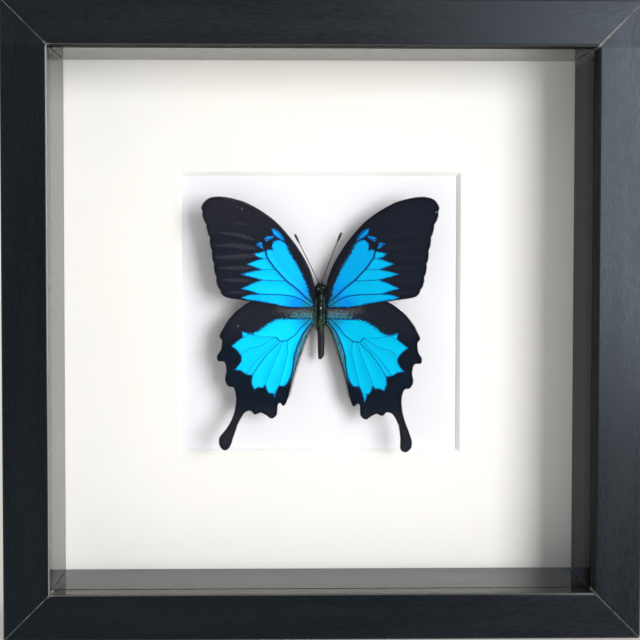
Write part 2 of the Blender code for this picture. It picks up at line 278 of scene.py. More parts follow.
# %% Grain of the foil
GRAIN_WIDTH = 0.8  # mm
long_place = add("Math MULTIPLY", along, 0.18)
grain_place = add("CombineXYZ", outwards, apart["Y"], long_place)
grain = add("TexNoise", grain_place, size=GRAIN_WIDTH, Detail=4.0, Roughness=0.6)
mottle = add("TexNoise", grain_place, size=9, Detail=3.0)
both_grains = add("Mix", 0.4, grain, mottle)
black_foil = add("Mix RGBA", both_grains, "#0A0B0C", "#17191B")
foil_roughness = add("MapRange", both_grains, From=(0.35, 0.65), To=(0.23, 0.39))
on_lip = add("MapRange", outwards, From=((SIGHT_HALF + 0.9) * MM, (SIGHT_HALF + 0.4) * MM))
on_top = add("Math GREATER_THAN", rise, SIGHT_HALF * MM * 0.995)
on_right = add("Math GREATER_THAN", apart["X"], SIGHT_HALF * MM * 0.995)
rubbed_dull = add("Math MAXIMUM", on_top, on_right)
lip_roughness = add("Mix", rubbed_dull, 0.08, 0.6)
lip_gloss = add("Mix", rubbed_dull, 0.75, 0.12)
flat_roughness = add("Math MULTIPLY_ADD", on_top, 0.07, foil_roughness)
foil_roughness = add("Mix", on_lip, flat_roughness, lip_roughness)
foil_gloss = add("Mix", on_lip, 0.36, lip_gloss)
foil_tint = add("Mix RGBA", on_lip, (0.76, 0.87, 1.0, 1), (1.0, 1.0, 1.0, 1))

# %% Cut mitres, their chips, and a painted highlight on the arris
right_half = add("Math GREATER_THAN", apart["X"], 0.0)
top_right = add("Math MULTIPLY", right_half, add("Math GREATER_THAN", rise, 0.0))
ragged = add("TexNoise", spot, size=0.9, Detail=5.0, Roughness=0.7)
stretch = add("TexNoise", spot, size=3.5, Detail=2.0)
line_width = add("MapRange", ragged, From=(0.35, 0.75), To=(0.07 * MM, 0.24 * MM))
opened = add("Math MULTIPLY_ADD", top_right, 1.9, 1.0)
line_edge = add("Math MULTIPLY", line_width, opened)
past_line = add("Math SUBTRACT", from_mitre, line_edge)
drawn = add("MapRange", past_line, From=(0.2 * MM, 0.0), To=(0.0, 0.8))
kept = add("MapRange", stretch, From=(0.36, 0.58), To=(0.45, 0.85))
inner_end = add(
    "MapRange", outwards, From=((SIGHT_HALF + 17) * MM, (SIGHT_HALF + 3) * MM), To=(0.22, 1.0)
)
cut_line = add("Math MULTIPLY", add("Math MULTIPLY", drawn, kept), inner_end)
chip_noise = add("TexNoise", spot, size=1.3, Detail=3.0, Roughness=0.8)
chip_need = add("MapRange", from_mitre, From=(0.0, 2.0 * MM), To=(0.64, 0.9))
chip_over = add("Math SUBTRACT", chip_noise, chip_need)
chips = add("MapRange", chip_over, From=(0.0, 0.03))
lip_end = add("MapRange", outwards, From=((SIGHT_HALF + 1.6) * MM, (SIGHT_HALF + 0.3) * MM))
mitre_end = add("MapRange", from_mitre, From=(0.8 * MM, 0.3 * MM))
lip_corner = add("Math MULTIPLY", lip_end, mitre_end)
torn = add("MapRange", stretch, From=(0.42, 0.55))
lip_chip = add("Math MULTIPLY", lip_corner, torn)
# Painted highlight: a thin pale line along the lip's front arris, strongest on the left bar, faint on top
# and bottom, nearly gone on the right
arris_highlight = add("MapRange", outwards, From=((SIGHT_HALF + 0.55) * MM, (SIGHT_HALF + 0.2) * MM))
near_front = add("MapRange", apart["Y"], From=(FRONT + 0.6 * MM, FRONT + 0.4 * MM))
arris_highlight_share = add(
    "MapRange", apart["X"], From=(-SIGHT_HALF * 0.995 * MM, -SIGHT_HALF * 0.98 * MM), To=(0.52, 0.16)
)
arris_highlight_share = add("Mix", on_right, arris_highlight_share, 0.03)
arris_highlight = add("Math MULTIPLY", add("Math MULTIPLY", arris_highlight, near_front), arris_highlight_share)
pale_marks = add("Math MAXIMUM", add("Math MAXIMUM", cut_line, chips), arris_highlight)
pale_marks = add("Math MAXIMUM", pale_marks, lip_chip, use_clamp=True)

# %% Bare board at the back
on_back = add("MapRange", apart["Y"], From=(high.y - 0.5 * MM, high.y - 0.2 * MM))
inner_wall = add("Math LESS_THAN", outwards, (REBATE_HALF + 0.4) * MM)
past_lip = add("Math GREATER_THAN", apart["Y"], FRONT + (LIP_DEPTH + 0.1) * MM)
in_rebate = add("Math MULTIPLY", inner_wall, past_lip)
bare = add("Math MAXIMUM", on_back, in_rebate)
fibres = add("TexNoise", spot, size=1.1, Detail=6.0, Roughness=0.75)
board_brown = add("Mix RGBA", fibres, "#8A6A47", "#B9976C")
pale_core_and_highlight = add("Mix RGBA", fibres, "#8A8A88", "#CFCFCB")
front_colour = add("Mix RGBA", pale_marks, black_foil, pale_core_and_highlight)
all_colour = add("Mix RGBA", bare, front_colour, board_brown)
rough_with_marks = add("Mix", pale_marks, foil_roughness, 0.8)
rough_all = add("Mix", bare, rough_with_marks, 0.85)
rounded = add("Bevel", Radius=0.5 * MM, samples=6)  # wrapped edges catch the light
embossed = add("Bump", Height=grain, Strength=0.26, Distance=0.05 * MM, Normal=rounded)
connect(
    shader, Base_Color=all_colour, Roughness=rough_all, Specular_IOR_Level=foil_gloss,
    Specular_Tint=foil_tint, Normal=embossed,
)
finish(foil, *["moulding_" + side for side in SIDES])
print("mouldings wrapped in foil")

# %% [markdown]
# ## Glue in the mitres
# The cut ends are drawn together with glue. A thin film of it fills each mitre, a third
# of a millimetre wide, so no light comes through the joint.

# %% Mitre glue
GLUE_THICK = 0.27
SHY = 0.3  # mm that the film stays inside the wood's faces
REAR = (high.y - FRONT) / MM
film_outline = [
    (SIGHT_HALF + SHY, SHY), (OUTER_HALF - 0.8, SHY), (OUTER_HALF - 0.35, 0.8),
    (OUTER_HALF - 0.35, REAR - 0.6), (OUTER_HALF - 0.8, REAR - SHY), (REBATE_HALF + 0.1, REAR - SHY),
    (REBATE_HALF + 0.1, LIP_DEPTH - 0.1), (SIGHT_HALF + SHY, LIP_DEPTH - 0.1),
]
glue_points, glue_faces = [], []
corners = len(film_outline)
for hand in HANDS.values():
    for rising in (-1, 1):
        first = len(glue_points)
        for offset in (-GLUE_THICK / 2, GLUE_THICK / 2):
            across = offset / 2**0.5
            for out, back in film_outline:
                place = Vector((hand * (out + across), back, rising * (out - across))) * MM
                glue_points.append(place + Vector((0, FRONT, MIDDLE.z)))
        near = range(first, first + corners)
        far = range(first + corners, first + 2 * corners)
        glue_faces += [tuple(near), tuple(reversed(far))]
        for i in range(corners):
            j = (i + 1) % corners
            glue_faces.append((near[j], near[i], far[i], far[j]))
glue_mesh = bpy.data.meshes.new("mitre_glue")
glue_mesh.from_pydata(glue_points, [], glue_faces)
tidy = bmesh.new()
tidy.from_mesh(glue_mesh)
bmesh.ops.recalc_face_normals(tidy, faces=tidy.faces)
tidy.to_mesh(glue_mesh)
tidy.free()
dried, add, spot, shader = start_material("dried joiner's glue", IOR=1.48, Roughness=0.5)
dusty = add("TexNoise", spot, size=2.5, Detail=3.0, Roughness=0.7)
dusty = add("MapRange", dusty, From=(0.38, 0.62))
glue_colour = add("Mix RGBA", dusty, "#403F3D", "#8C8A85")
connect(shader, Base_Color=glue_colour)
install("mitre_glue", glue_mesh, [dried])
print("mitres glued")

# %% [markdown]
# ## Lacquered spacers
# The strips between glass and mat are gloss black. At the low angle they are seen at,
# they mirror the mat, so their finish is mostly reflection: a smooth coat over black
# with the faint ripple of brushed lacquer, and a little dust that settles on it. The
# right strip is painted darker as shade, the top and left strips are painted paler grey
# as light, and the top strip is glossier and the right one duller.

# %% Spacer lacquer
lacquer, add, spot, shader = start_material("gloss black lacquer", IOR=1.7)
apart = add("SeparateXYZ", spot).node.outputs
EDGE = ((SIGHT_HALF - 4) * MM, SIGHT_HALF * MM)  # a spacer's face lies between these
at_top = add("MapRange", apart["Z"], From=(MIDDLE.z + EDGE[0], MIDDLE.z + EDGE[1]))
at_right = add("MapRange", apart["X"], From=EDGE)
polish = add("Math MULTIPLY_ADD", at_top, 0.4, 0.6)
polish = add("Mix", at_right, polish, 0.07)
ripple = add("TexNoise", spot, size=6, Detail=2.0)
specks = add("TexNoise", spot, size=0.5, Detail=4.0, Roughness=0.8)
dust = add("MapRange", specks, From=(0.62, 0.78))
lacquer_black = add("Mix RGBA", dust, "#1C1C1B", "#4A4A48")
# Painted shade: the right spacer's black is darkened to a fifth
right_painted_shade = add("Math MULTIPLY_ADD", at_right, -0.8, 1.0)
lacquer_black = add("VectorMath SCALE", lacquer_black, right_painted_shade)
# Painted light: the top spacer and, half as much, the left one are turned paler grey
at_left = add("MapRange", apart["X"], From=(-EDGE[0], -EDGE[1]), To=(0.0, 0.5))
top_left_painted_light = add("Math MAXIMUM", at_top, at_left)
lacquer_black = add("Mix RGBA", top_left_painted_light, lacquer_black, "#5C5B58")
lacquer_roughness = add("MapRange", specks, To=(0.03, 0.12))
rippled = add("Bump", Height=ripple, Strength=0.1, Distance=0.2 * MM)
connect(
    shader, Base_Color=lacquer_black, Roughness=lacquer_roughness, Specular_IOR_Level=polish,
    Normal=rippled,
)
finish(lacquer, *["spacer_" + side for side in SIDES])
print("spacers lacquered")

# %% [markdown]
# ## Glass
# Float glass is clear and smooth, with IOR 1.52. Light passes straight through a pane,
# but a path tracer finds lamps through glass only by chance. So for shadow rays and for
# light that has already been scattered, the pane is simply transparent; the camera
# still sees real glass, with its reflections.

# %% Glass pane
glass, add, spot, shader = start_material(
    "float glass", IOR=1.52, Roughness=0.0, Transmission_Weight=1.0
)
wiped = add("TexNoise", spot, size=22, Detail=3.0, Distortion=1.5)
faint_tint = add("Mix RGBA", wiped, "#FBFDFC", "#FFFFFF")
connect(shader, Base_Color=faint_tint)
paths = add("LightPath", result="Is Shadow Ray").node.outputs
scattered = add("Math MAXIMUM", paths["Is Shadow Ray"], paths["Is Diffuse Ray"])
open_air = add("BsdfTransparent")
mixed = add("MixShader", scattered, shader.outputs[0], open_air)
connect(glass.node_tree.nodes["Material Output"], Surface=mixed)
finish(glass, "glass_pane")
print("glass fitted")

# %% [markdown]
# ## Mat board, foam card and back board
# Mat board is paper pulp with a very slightly toothed face; its window is cut at 45
# degrees, and the cut shows the brighter core. The card behind is cooler and smoother.
# The back board is hardboard: pressed brown fibres, smooth but blotchy.

# %% Mat board
mat_board, add, spot, shader = start_material("ivory mat board", Roughness=0.9, IOR=1.45)
tooth = add("TexNoise", spot, size=0.45, Detail=5.0, Roughness=0.7)
pulp = add("TexNoise", spot, size=14, Detail=4.0)
face_blend = add("Mix", 0.5, tooth, pulp)
face_colour = add("Mix RGBA", face_blend, "#F5F1EB", "#FBF7F2")
facing = add("NewGeometry", result="True Normal")
turned = add("SeparateXYZ", facing, result="Y")
bevelled = add("MapRange", turned, From=(-0.85, -0.75))
mat_colour = add("Mix RGBA", bevelled, face_colour, "#FAFAF6")
toothed = add("Bump", Height=tooth, Strength=0.25, Distance=0.04 * MM)
connect(shader, Base_Color=mat_colour, Normal=toothed)
finish(mat_board, "window_mat")

# %% Foam card
card, add, spot, shader = start_material("white faced foam card", Roughness=0.8, IOR=1.45)
weave = add("TexNoise", spot, size=0.6, Detail=4.0)
cloud = add("TexNoise", spot, size=25, Detail=3.0)
card_blend = add("Mix", 0.6, weave, cloud)
card_colour = add("Mix RGBA", card_blend, "#EDEBEF", "#F3F2F6")
pressed = add("Bump", Height=weave, Strength=0.15, Distance=0.03 * MM)
connect(shader, Base_Color=card_colour, Normal=pressed)
finish(card, "mounting_card")

# %% Hardboard
hardboard, add, spot, shader = start_material("tempered hardboard", IOR=1.5)
felted = add("TexNoise", spot, size=1.6, Detail=7.0, Roughness=0.8, Distortion=0.6)
blotches = add("TexNoise", spot, size=28, Detail=3.0)
felt_blend = add("Mix", 0.45, felted, blotches)
board_colour = add("Mix RGBA", felt_blend, "#4A2F1C", "#8A6142")
board_roughness = add("MapRange", felted, To=(0.45, 0.8))
pitted = add("Bump", Height=felted, Strength=0.3, Distance=0.1 * MM)
connect(shader, Base_Color=board_colour, Roughness=board_roughness, Normal=pitted)
finish(hardboard, "back_board")
print("mat, card and back board finished")

# %% [markdown]
# ## Steel fixings
# The tabs and the hanger are stamped from zinc-plated sheet. Zinc plate is a pale, soft
# metal: bright, slightly blue, with a fine rolled grain and dull smudges.

# %% Zinc plate
zinc, add, spot, shader = start_material("zinc plated steel", Metallic=1.0)
stretched = add("Mapping", spot, Scale=(1.0, 1.0, 0.08))
rolled = add("TexNoise", stretched, size=0.25, Detail=3.0)
smudge = add("TexNoise", spot, size=5, Detail=4.0)
zinc_colour = add("Mix RGBA", smudge, "#9EA3A6", "#C9CCCB")
zinc_blend = add("Mix", 0.5, rolled, smudge)
zinc_roughness = add("MapRange", zinc_blend, To=(0.22, 0.5))
scored = add("Bump", Height=rolled, Strength=0.15, Distance=0.02 * MM)
connect(shader, Base_Color=zinc_colour, Roughness=zinc_roughness, Normal=scored)
fixings = ["hanger_plate"] + [f"back_tab_{number}" for number in range(1, 9)]
finish(zinc, *fixings)
print("fixings plated:", len(fixings))

# %% [markdown]
# ## Wing outlines
# A wing is a thin sheet, so its outline is most of its character. Each is drawn on the
# flat in millimetres, for a right wing: out from the body's axis, and up from the
# frame's middle. A smooth curve is run through the points, and the tails are bent a
# little differently on the two sides, as on the dried insect.

# %% Outlines in millimetres
FOREWING_EDGE = [
    (2.6, 13.5), (4.3, 19.6), (7.7, 26.1), (12.4, 32.9), (19.8, 40.8), (29.9, 47.1),
    (40.0, 49.8), (46.2, 49.2), (49.1, 46.0), (48.9, 42.4), (47.5, 38.2), (46.4, 34.0),
    (45.4, 28.4), (44.0, 19.4), (42.6, 13.0), (40.6, 9.5), (38.0, 8.3), (33.0, 7.5),
    (25.5, 6.3), (17.8, 4.7), (12.4, 3.9), (6.0, 3.7), (2.4, 4.4), (2.3, 8.2),
]
HINDWING_FRONT = [
    (2.4, 3.0), (9.0, 4.6), (17.0, 6.8), (24.0, 7.8), (29.3, 6.4), (34.5, 2.7),
    (38.0, -1.1), (40.1, -4.4), (41.8, -8.1), (40.9, -9.9), (41.1, -13.4), (42.7, -16.5),
    (42.3, -18.3), (39.8, -18.9), (38.8, -22.1), (39.3, -26.2), (38.0, -28.8), (35.9, -29.5),
    (34.7, -32.9),
]
HINDWING_TAIL = [
    (34.9, -37.6), (36.1, -42.4), (37.9, -46.8), (39.5, -50.8), (39.2, -53.6), (37.3, -55.3),
    (35.2, -54.2), (34.7, -49.2), (33.5, -43.8), (31.2, -40.1),
]
HINDWING_REAR = [
    (28.7, -39.3), (26.8, -40.7), (24.6, -40.1), (22.3, -41.0), (20.0, -42.5), (17.9, -41.1),
    (17.4, -37.1), (16.3, -36.1), (14.8, -37.2), (13.2, -34.2), (11.0, -25.3), (7.6, -14.0),
    (4.4, -5.6), (2.5, -2.4),
]
TAIL_ROOT = Vector((32.2, -38.6))
TAIL_LENGTH = 17.0
TAIL_BEND = {"left": radians(9.0), "right": radians(-1.5)}
TAIL_CURL = {"left": 6.0, "right": 0.7}  # how far the tail's end rises towards the glass
HINDWING_ROOT = Vector((3.5, 0))
HINDWING_TURN = {"left": radians(0.9), "right": radians(-0.9)}
WING_REACH = {"left": 1.009, "right": 0.995}


def turn_about(point, middle, angle):
    """A flat point turned about another."""
    return middle + Matrix.Rotation(angle, 2) @ (Vector(point) - middle)


def smooth_loop(points, spacing):
    """A closed curve through the points, with a point about every spacing mm."""
    knots = [Vector((x, z, 0)) for x, z in points]
    curve = []
    for i, here in enumerate(knots):
        before, after, beyond = knots[i - 1], knots[(i + 1) % len(knots)], knots[(i + 2) % len(knots)]
        steps = max(2, round((after - here).length / spacing))
        leave, arrive = here + (after - before) / 6, after - (beyond - here) / 6
        curve += [p[:2] for p in interpolate_bezier(here, leave, arrive, after, steps + 1)[:-1]]
    return np.array(curve)


MESH_SPACING = 0.34  # mm between neighbouring points of a wing
NOTCH_PITCH, NOTCH_START, NOTCH_DEPTH = 5.4, 16.9, 0.38  # small notches where veins end
forewing_edge = smooth_loop(FOREWING_EDGE, MESH_SPACING)
on_margin = (forewing_edge[:, 0] > 41.5) & (forewing_edge[:, 1] < 45)
notch = np.cos(pi * (forewing_edge[:, 1] - NOTCH_START) / NOTCH_PITCH) ** 6
forewing_edge[:, 0] -= NOTCH_DEPTH * notch * on_margin
hindwing_edge = {}
for side in HANDS:
    tail = []
    for point in HINDWING_TAIL:
        share = min(1, (Vector(point) - TAIL_ROOT).length / TAIL_LENGTH * 1.15)
        tail.append(turn_about(point, TAIL_ROOT, TAIL_BEND[side] * share**2))
    hindwing_edge[side] = smooth_loop([*HINDWING_FRONT, *tail, *HINDWING_REAR], MESH_SPACING)
print("outline points:", len(forewing_edge), len(hindwing_edge["left"]))

# %% [markdown]
# ## Veins and colour fields
# Veins run from the wing's root to its margin, and every patch of colour stops at one.
# So the veins are drawn first, as lines, and the blue fields are drawn between them.
# Each vein has a weight: a strong vein is a dark line, a faint one only a crease.

# %% Veins
FOREWING_VEINS = [
    (1.0, [(3.6, 6.1), (6.1, 8.2), (10.4, 12.2), (14.5, 15.4), (19.6, 20.9), (22.4, 25.0),
           (23.2, 27.8)]),
    (0.9, [(3.6, 4.7), (6.1, 6.0), (8.5, 7.7), (11.7, 8.8), (16.2, 9.4), (25.8, 9.8), (42.0, 11.6)]),
    (0.6, [(14.3, 15.2), (19.0, 15.3), (24.8, 15.7), (43.2, 16.9)]),
    (0.5, [(18.8, 20.0), (23.5, 19.9), (25.2, 20.0), (36.0, 21.6), (44.0, 22.6)]),
    (0.5, [(22.0, 24.4), (24.4, 24.5), (34.0, 26.6), (44.7, 28.2)]),
    (0.8, [(23.2, 27.8), (24.0, 29.9), (34.0, 30.9), (45.4, 33.0)]),
    (0.7, [(24.0, 29.9), (23.8, 32.0), (34.0, 36.0), (46.4, 38.6)]),
    (0.8, [(14.4, 30.9), (18.4, 33.1), (23.7, 32.4), (34.0, 40.0), (48.6, 44.0)]),
    (0.8, [(18.4, 33.1), (20.2, 35.4), (30.0, 42.0), (46.5, 48.6)]),
    (0.7, [(3.3, 10.5), (6.0, 18.8), (9.8, 25.8), (14.4, 31.6), (20.2, 37.6), (32.0, 46.4)]),
]
HINDWING_VEINS = [
    (0.8, [(4.6, -1.2), (8.1, -4.5), (10.6, -7.7), (13.9, -10.0), (16.8, -10.3), (18.5, -8.5)]),
    (1.0, [(3.4, -2.2), (6.8, -6.4), (9.2, -11.4), (10.8, -16.5), (11.1, -20.7), (12.0, -24.9),
           (13.6, -28.5), (16.0, -35.6)]),
    (0.6, [(17.2, -10.8), (21.8, -15.2), (25.9, -20.6), (28.1, -24.4), (33.4, -33.0), (38.6, -53.0)]),
    (0.3, [(18.5, -8.5), (25.2, -12.3), (30.1, -13.5), (33.2, -15.9), (40.4, -21.5)]),
    (0.3, [(17.8, -9.6), (25.9, -17.7), (30.8, -24.1), (37.0, -28.6)]),
    (0.3, [(15.8, -10.6), (17.2, -14.8), (21.6, -24.8), (22.9, -29.0), (26.6, -40.2)]),
    (0.3, [(13.6, -10.1), (13.6, -15.6), (15.4, -22.4), (17.0, -28.9), (20.0, -41.8)]),
    (0.3, [(18.5, -8.5), (24.0, -8.4), (29.3, -7.3), (33.0, -9.0), (41.0, -12.0)]),
    (0.35, [(4.3, -0.9), (10.7, -0.9), (16.6, -0.3), (26.0, -0.6), (38.6, -2.6)]),
]
print("veins:", len(FOREWING_VEINS), "and", len(HINDWING_VEINS))

# %% Blue fields
FOREWING_BLUE = [
    [(3.0, 5.6), (4.6, 8.6), (5.5, 12.8), (7.1, 16.6), (9.0, 20.4), (10.6, 23.2), (13.2, 27.6),
     (14.3, 30.0), (15.2, 31.4), (16.8, 32.3), (18.5, 32.3), (19.9, 31.3), (20.5, 29.9),
     (20.0, 28.0), (21.4, 28.3), (22.9, 27.9), (22.2, 24.9), (19.5, 20.9), (14.5, 15.5),
     (10.4, 12.3), (6.1, 8.2)],
    [(3.0, 5.4), (6.1, 8.1), (10.4, 12.1), (14.5, 15.3), (19.6, 20.8), (22.4, 24.9), (23.2, 27.7),
     (25.4, 27.1), (27.9, 26.7), (26.6, 25.2), (24.4, 24.5), (26.3, 24.1), (28.7, 23.1),
     (31.1, 22.3), (28.0, 21.1), (24.9, 19.9), (27.9, 19.5), (30.8, 18.7), (33.4, 18.0),
     (29.6, 17.0), (24.8, 15.6), (28.4, 14.4), (31.1, 13.0), (33.4, 12.1), (29.6, 11.1),
     (26.0, 9.8), (29.8, 9.6), (33.2, 8.4), (30.4, 7.4), (26.0, 6.8), (19.0, 5.5), (16.6, 4.8),
     (11.7, 4.1), (3.6, 4.2)],
    [(20.6, 36.9), (19.2, 37.0), (17.3, 35.6), (15.9, 33.9), (14.8, 31.9), (16.6, 32.5),
     (18.5, 33.6), (19.9, 34.5)],
    [(23.7, 33.0), (22.2, 33.8), (19.6, 33.9), (19.7, 33.2), (21.3, 32.2), (22.9, 31.5)],
    [(27.3, 30.6), (24.6, 31.4), (23.8, 28.3), (24.9, 28.8)],
]
HINDWING_BLUE = [
    [(3.0, -1.6), (4.5, -0.6), (10.7, -0.8), (16.4, -0.8), (19.6, -1.6), (22.6, -3.4),
     (25.3, -5.6), (27.8, -6.8), (30.0, -7.0), (32.9, -6.0), (32.4, -8.4), (34.6, -10.2),
     (37.1, -12.1), (34.6, -14.2), (33.0, -16.4), (32.8, -18.4), (34.2, -20.4), (35.8, -22.3),
     (33.0, -22.5), (30.8, -24.1), (28.3, -24.5), (28.5, -27.8), (27.3, -30.5), (25.6, -29.6),
     (23.6, -29.7), (22.7, -28.6), (22.0, -30.9), (21.1, -32.2), (19.5, -32.0), (18.8, -33.8),
     (18.1, -31.4), (16.9, -29.0), (14.7, -29.2), (13.0, -27.4), (12.0, -24.9), (11.1, -20.7),
     (10.8, -16.5), (9.2, -11.4), (6.8, -6.4)],
]
RIGHT_THREAD = [(20.4, -32.0), (19.9, -34.2), (19.3, -35.8), (18.8, -33.6), (18.4, -31.5)]
print("blue fields:", len(FOREWING_BLUE), "and", len(HINDWING_BLUE))

# %% [markdown]
# ## Measuring on the flat wing
# The shader needs to know, at every point of a wing, how far it is from a vein, from
# the margin and from the edge of the blue. NumPy works these out for thousands of
# points at once, and they are stored on the mesh as named attributes.

# %% Distances
def segments_of(line, closed=False):
    """The starts and ends of a line's straight parts."""
    points = np.array(line, dtype=float)
    return (points, np.roll(points, -1, 0)) if closed else (points[:-1], points[1:])


def distance_to(points, starts, ends):
    """Each point's distance in mm to the nearest of these straight parts."""
    nearest = np.full(len(points), 1e3)
    for start, step in zip(starts, ends - starts):
        share = np.clip((points - start) @ step / max(step @ step, 1e-9), 0, 1)
        away = np.linalg.norm(points - start - share[:, None] * step, axis=1)
        nearest = np.minimum(nearest, away)
    return nearest


def depth_inside(points, loop):
    """Distance in mm from a closed line, positive inside it and negative outside."""
    starts, ends = segments_of(loop, closed=True)
    inside = np.zeros(len(points), dtype=bool)
    for (x0, z0), (x1, z1) in zip(starts, ends):
        if z0 != z1:
            crosses = (points[:, 1] < z0) != (points[:, 1] < z1)
            inside ^= crosses & (points[:, 0] < x0 + (points[:, 1] - z0) * (x1 - x0) / (z1 - z0))
    away = distance_to(points, starts, ends)
    return np.where(inside, away, -away)


def ease(values, start, end):
    """0 before start, 1 after end, and smooth between."""
    share = np.clip((values - start) / (end - start), 0, 1)
    return share * share * (3 - 2 * share)


def near_vein(points, veins):
    """Distance in mm to the nearest vein, a faint one counting as further off."""
    nearest = np.full(len(points), 1e3)
    for weight, line in veins:
        nearest = np.minimum(nearest, distance_to(points, *segments_of(line)) + 0.22 * (1 - weight))
    return nearest


# %% Fine triangles inside an outline
def fill_outline(edge, spacing):
    """Points and triangles that fill a closed edge, about spacing mm apart."""
    lowest, highest = edge.min(0), edge.max(0)
    columns = np.arange(lowest[0], highest[0], spacing)
    rows = np.arange(lowest[1], highest[1], spacing * sqrt(3) / 2)
    across, up = np.meshgrid(columns, rows)
    across[1::2] += spacing / 2
    grid = np.column_stack((across.ravel(), up.ravel()))
    grid = grid[depth_inside(grid, edge) > 0.55 * spacing]
    corners = [Vector(p) for p in np.vstack((edge, grid))]
    rim = list(range(len(edge)))
    points, _, triangles, *_ = delaunay_2d_cdt(corners, [], [rim], 1, 1e-5)
    return np.array(points), [tuple(t) for t in triangles]


print("a test square fills with", len(fill_outline(np.array([(0, 0), (5, 0), (5, 5), (0, 5)]), 0.5)[1]))

# %% [markdown]
# ## The shape of a wing
# A butterfly's wing isn't flat. Veins stand up as ridges, the cells between them dip,
# the margin ripples as it dries, and a tail can curl. These heights are added to the
# flat mesh, then a Solidify modifier gives the sheet its thickness, with a browner
# underside.

# %% Heights and fringe
WING_THICK = 0.12 * MM
RIPPLE = 9.0  # mm between waves of the margin
generator = np.random.default_rng(7)


def relief(points, veins, edge_depth):
    """Height in mm of each point of the wing above its flat plane."""
    vein = near_vein(points, veins)
    height = 0.05 * np.exp(-((vein / 0.35) ** 2)) - 0.12 * ease(vein, 0.2, 2.4)
    waves = np.array([noise.noise(Vector((x, z, 0)) / RIPPLE) for x, z in points])
    return height + waves * (0.35 - 0.25 * ease(edge_depth, 0, 6))


def fringe(edge, chosen, lengths, lean, width):
    """Flat hairs out from chosen points of an edge: points, triangles, and 1 where a notch is."""
    along = np.roll(edge, -1, 0) - np.roll(edge, 1, 0)
    along /= np.linalg.norm(along, axis=1)[:, None]
    outward = np.column_stack((along[:, 1], -along[:, 0]))
    if depth_inside(edge[:1] + outward[:1] * 0.1, edge)[0] > 0:
        outward = -outward
    hollow = ((np.roll(along, -4, 0) - np.roll(along, 4, 0)) * outward).sum(1) > 0.5
    points, triangles, pale = [], [], []
    for i in chosen:
        for _ in range(3):
            root = edge[i] + along[i] * generator.uniform(-0.17, 0.17)
            leaning = outward[i] + along[i] * generator.normal(lean, 0.28)
            tip = root + leaning * generator.uniform(*lengths)
            first = len(points)
            points += [root - along[i] * width, root + along[i] * width, tip]
            triangles.append((first, first + 1, first + 2))
            pale += [float(hollow[i])] * 3
    return np.array(points), triangles, np.array(pale)


# %% [markdown]
# ## Building a wing
# The sheet stands in the same place as the CAD wing that it replaces: turned upright,
# and raised towards the glass away from the body. Measurements go onto the mesh as
# attributes, and the fringe joins the same mesh, because it grows from it.

# %% One wing
DIHEDRAL = radians(8.5)


def add_attribute(mesh, name, values):
    """Stores one number for each point of a mesh."""
    stored = mesh.attributes.new(name, "FLOAT", "POINT").data
    stored.foreach_set("value", np.asarray(values, dtype=np.float32))


def make_wing(name, side, flat, triangles, measures, height, hair, depth):
    """A wing from flat points in mm, heights and measures, with its fringe."""
    hand = HANDS[side]
    hair_points, hair_triangles, hair_pale = hair
    total = len(flat)
    everything = np.vstack((flat, hair_points))
    hair_height = [height[np.argmin(((flat - point) ** 2).sum(1))] for point in hair_points]
    x = hand * WING_REACH[side] * everything[:, 0]
    mesh = bpy.data.meshes.new(name)
    corners = np.column_stack((x, everything[:, 1], [*height, *hair_height])) * MM
    faces = triangles + [tuple(total + corner for corner in t) for t in hair_triangles]
    faces = [face if hand > 0 else face[::-1] for face in faces]
    mesh.from_pydata(corners.tolist(), [], faces)
    slots = [0] * len(triangles) + [2] * len(hair_triangles)
    mesh.polygons.foreach_set("material_index", slots)
    mesh.polygons.foreach_set("use_smooth", [slot == 0 for slot in slots])
    for key, values in measures.items():
        add_attribute(mesh, key, np.concatenate((values, np.zeros(len(hair_points)))))
    add_attribute(mesh, "pale", np.concatenate((np.zeros(total), hair_pale)))
    raised = (pi / 2, 0, -hand * DIHEDRAL)
    wing = install(name, mesh, wing_materials, (0, FRONT + depth * MM, MIDDLE.z), raised)
    solid = wing.modifiers.new("thickness", "SOLIDIFY")
    solid.thickness = WING_THICK
    solid.material_offset = 1


# %% [markdown]
# ## Wing scales
# The upper side is covered with scales like roof tiles. The blue is structural: it has
# a silky shine and is a little deeper near the body. Black scales swallow light and
# stay matt; their grey varies over the wing, and the left wings' black is painted
# greyer than the right's as sheen. Where blue meets black, single scales of each mix,
# so the border is feathery. Real scales are 0.15 mm long; here their rows are drawn
# twice as coarse so that they show.

# %% Upper side: measures from the mesh
scales, add, spot, shader = start_material(
    "wing scales, upper side", IOR=1.45, Specular_IOR_Level=0.03
)
SCALE_ROW, CLUMP = 0.3, 0.8  # mm: a row of scales and a clump of them
measure = {}
for name in (
    "blue", "vein", "margin", "streak", "dusting", "powder",
    "tone", "bloom", "costa", "ray", "reach", "fleck",
):
    measure[name] = add("Attribute " + name, result="Fac")
single = add("TexNoise", spot, size=SCALE_ROW, Detail=2.0, Roughness=0.7)
clumped = add("TexNoise", spot, size=CLUMP, Detail=3.0, Roughness=0.75)
patchy = add("TexNoise", spot, size=2.6, Detail=3.0)
fan_place = add("CombineXYZ", measure["ray"], measure["reach"])
combed = add("TexNoise", fan_place, Scale=1.0, Detail=4.0, Roughness=0.65)
speckle = add("Mix", 0.6, single, clumped)
centred = add("Math SUBTRACT", speckle, 0.5)

# %% Upper side: where the blue lies
loose = add("Math MULTIPLY_ADD", measure["dusting"], 12.0, 2.2)
stray = add("Math MULTIPLY", centred, loose)
border = add("Math ADD", measure["blue"], stray)
is_blue = add("MapRange", border, From=(-0.14, 0.14))
full_blue = add("MapRange", border, From=(0.05, 0.62))
vein_open = add("MapRange SMOOTHSTEP", measure["vein"], From=(0.12, 0.42))
sifted = add("Math MULTIPLY_ADD", centred, 2.6, measure["powder"])
is_powder = add("MapRange", sifted, From=(0.34, 0.7))
is_powder = add("Math MULTIPLY", is_powder, vein_open)

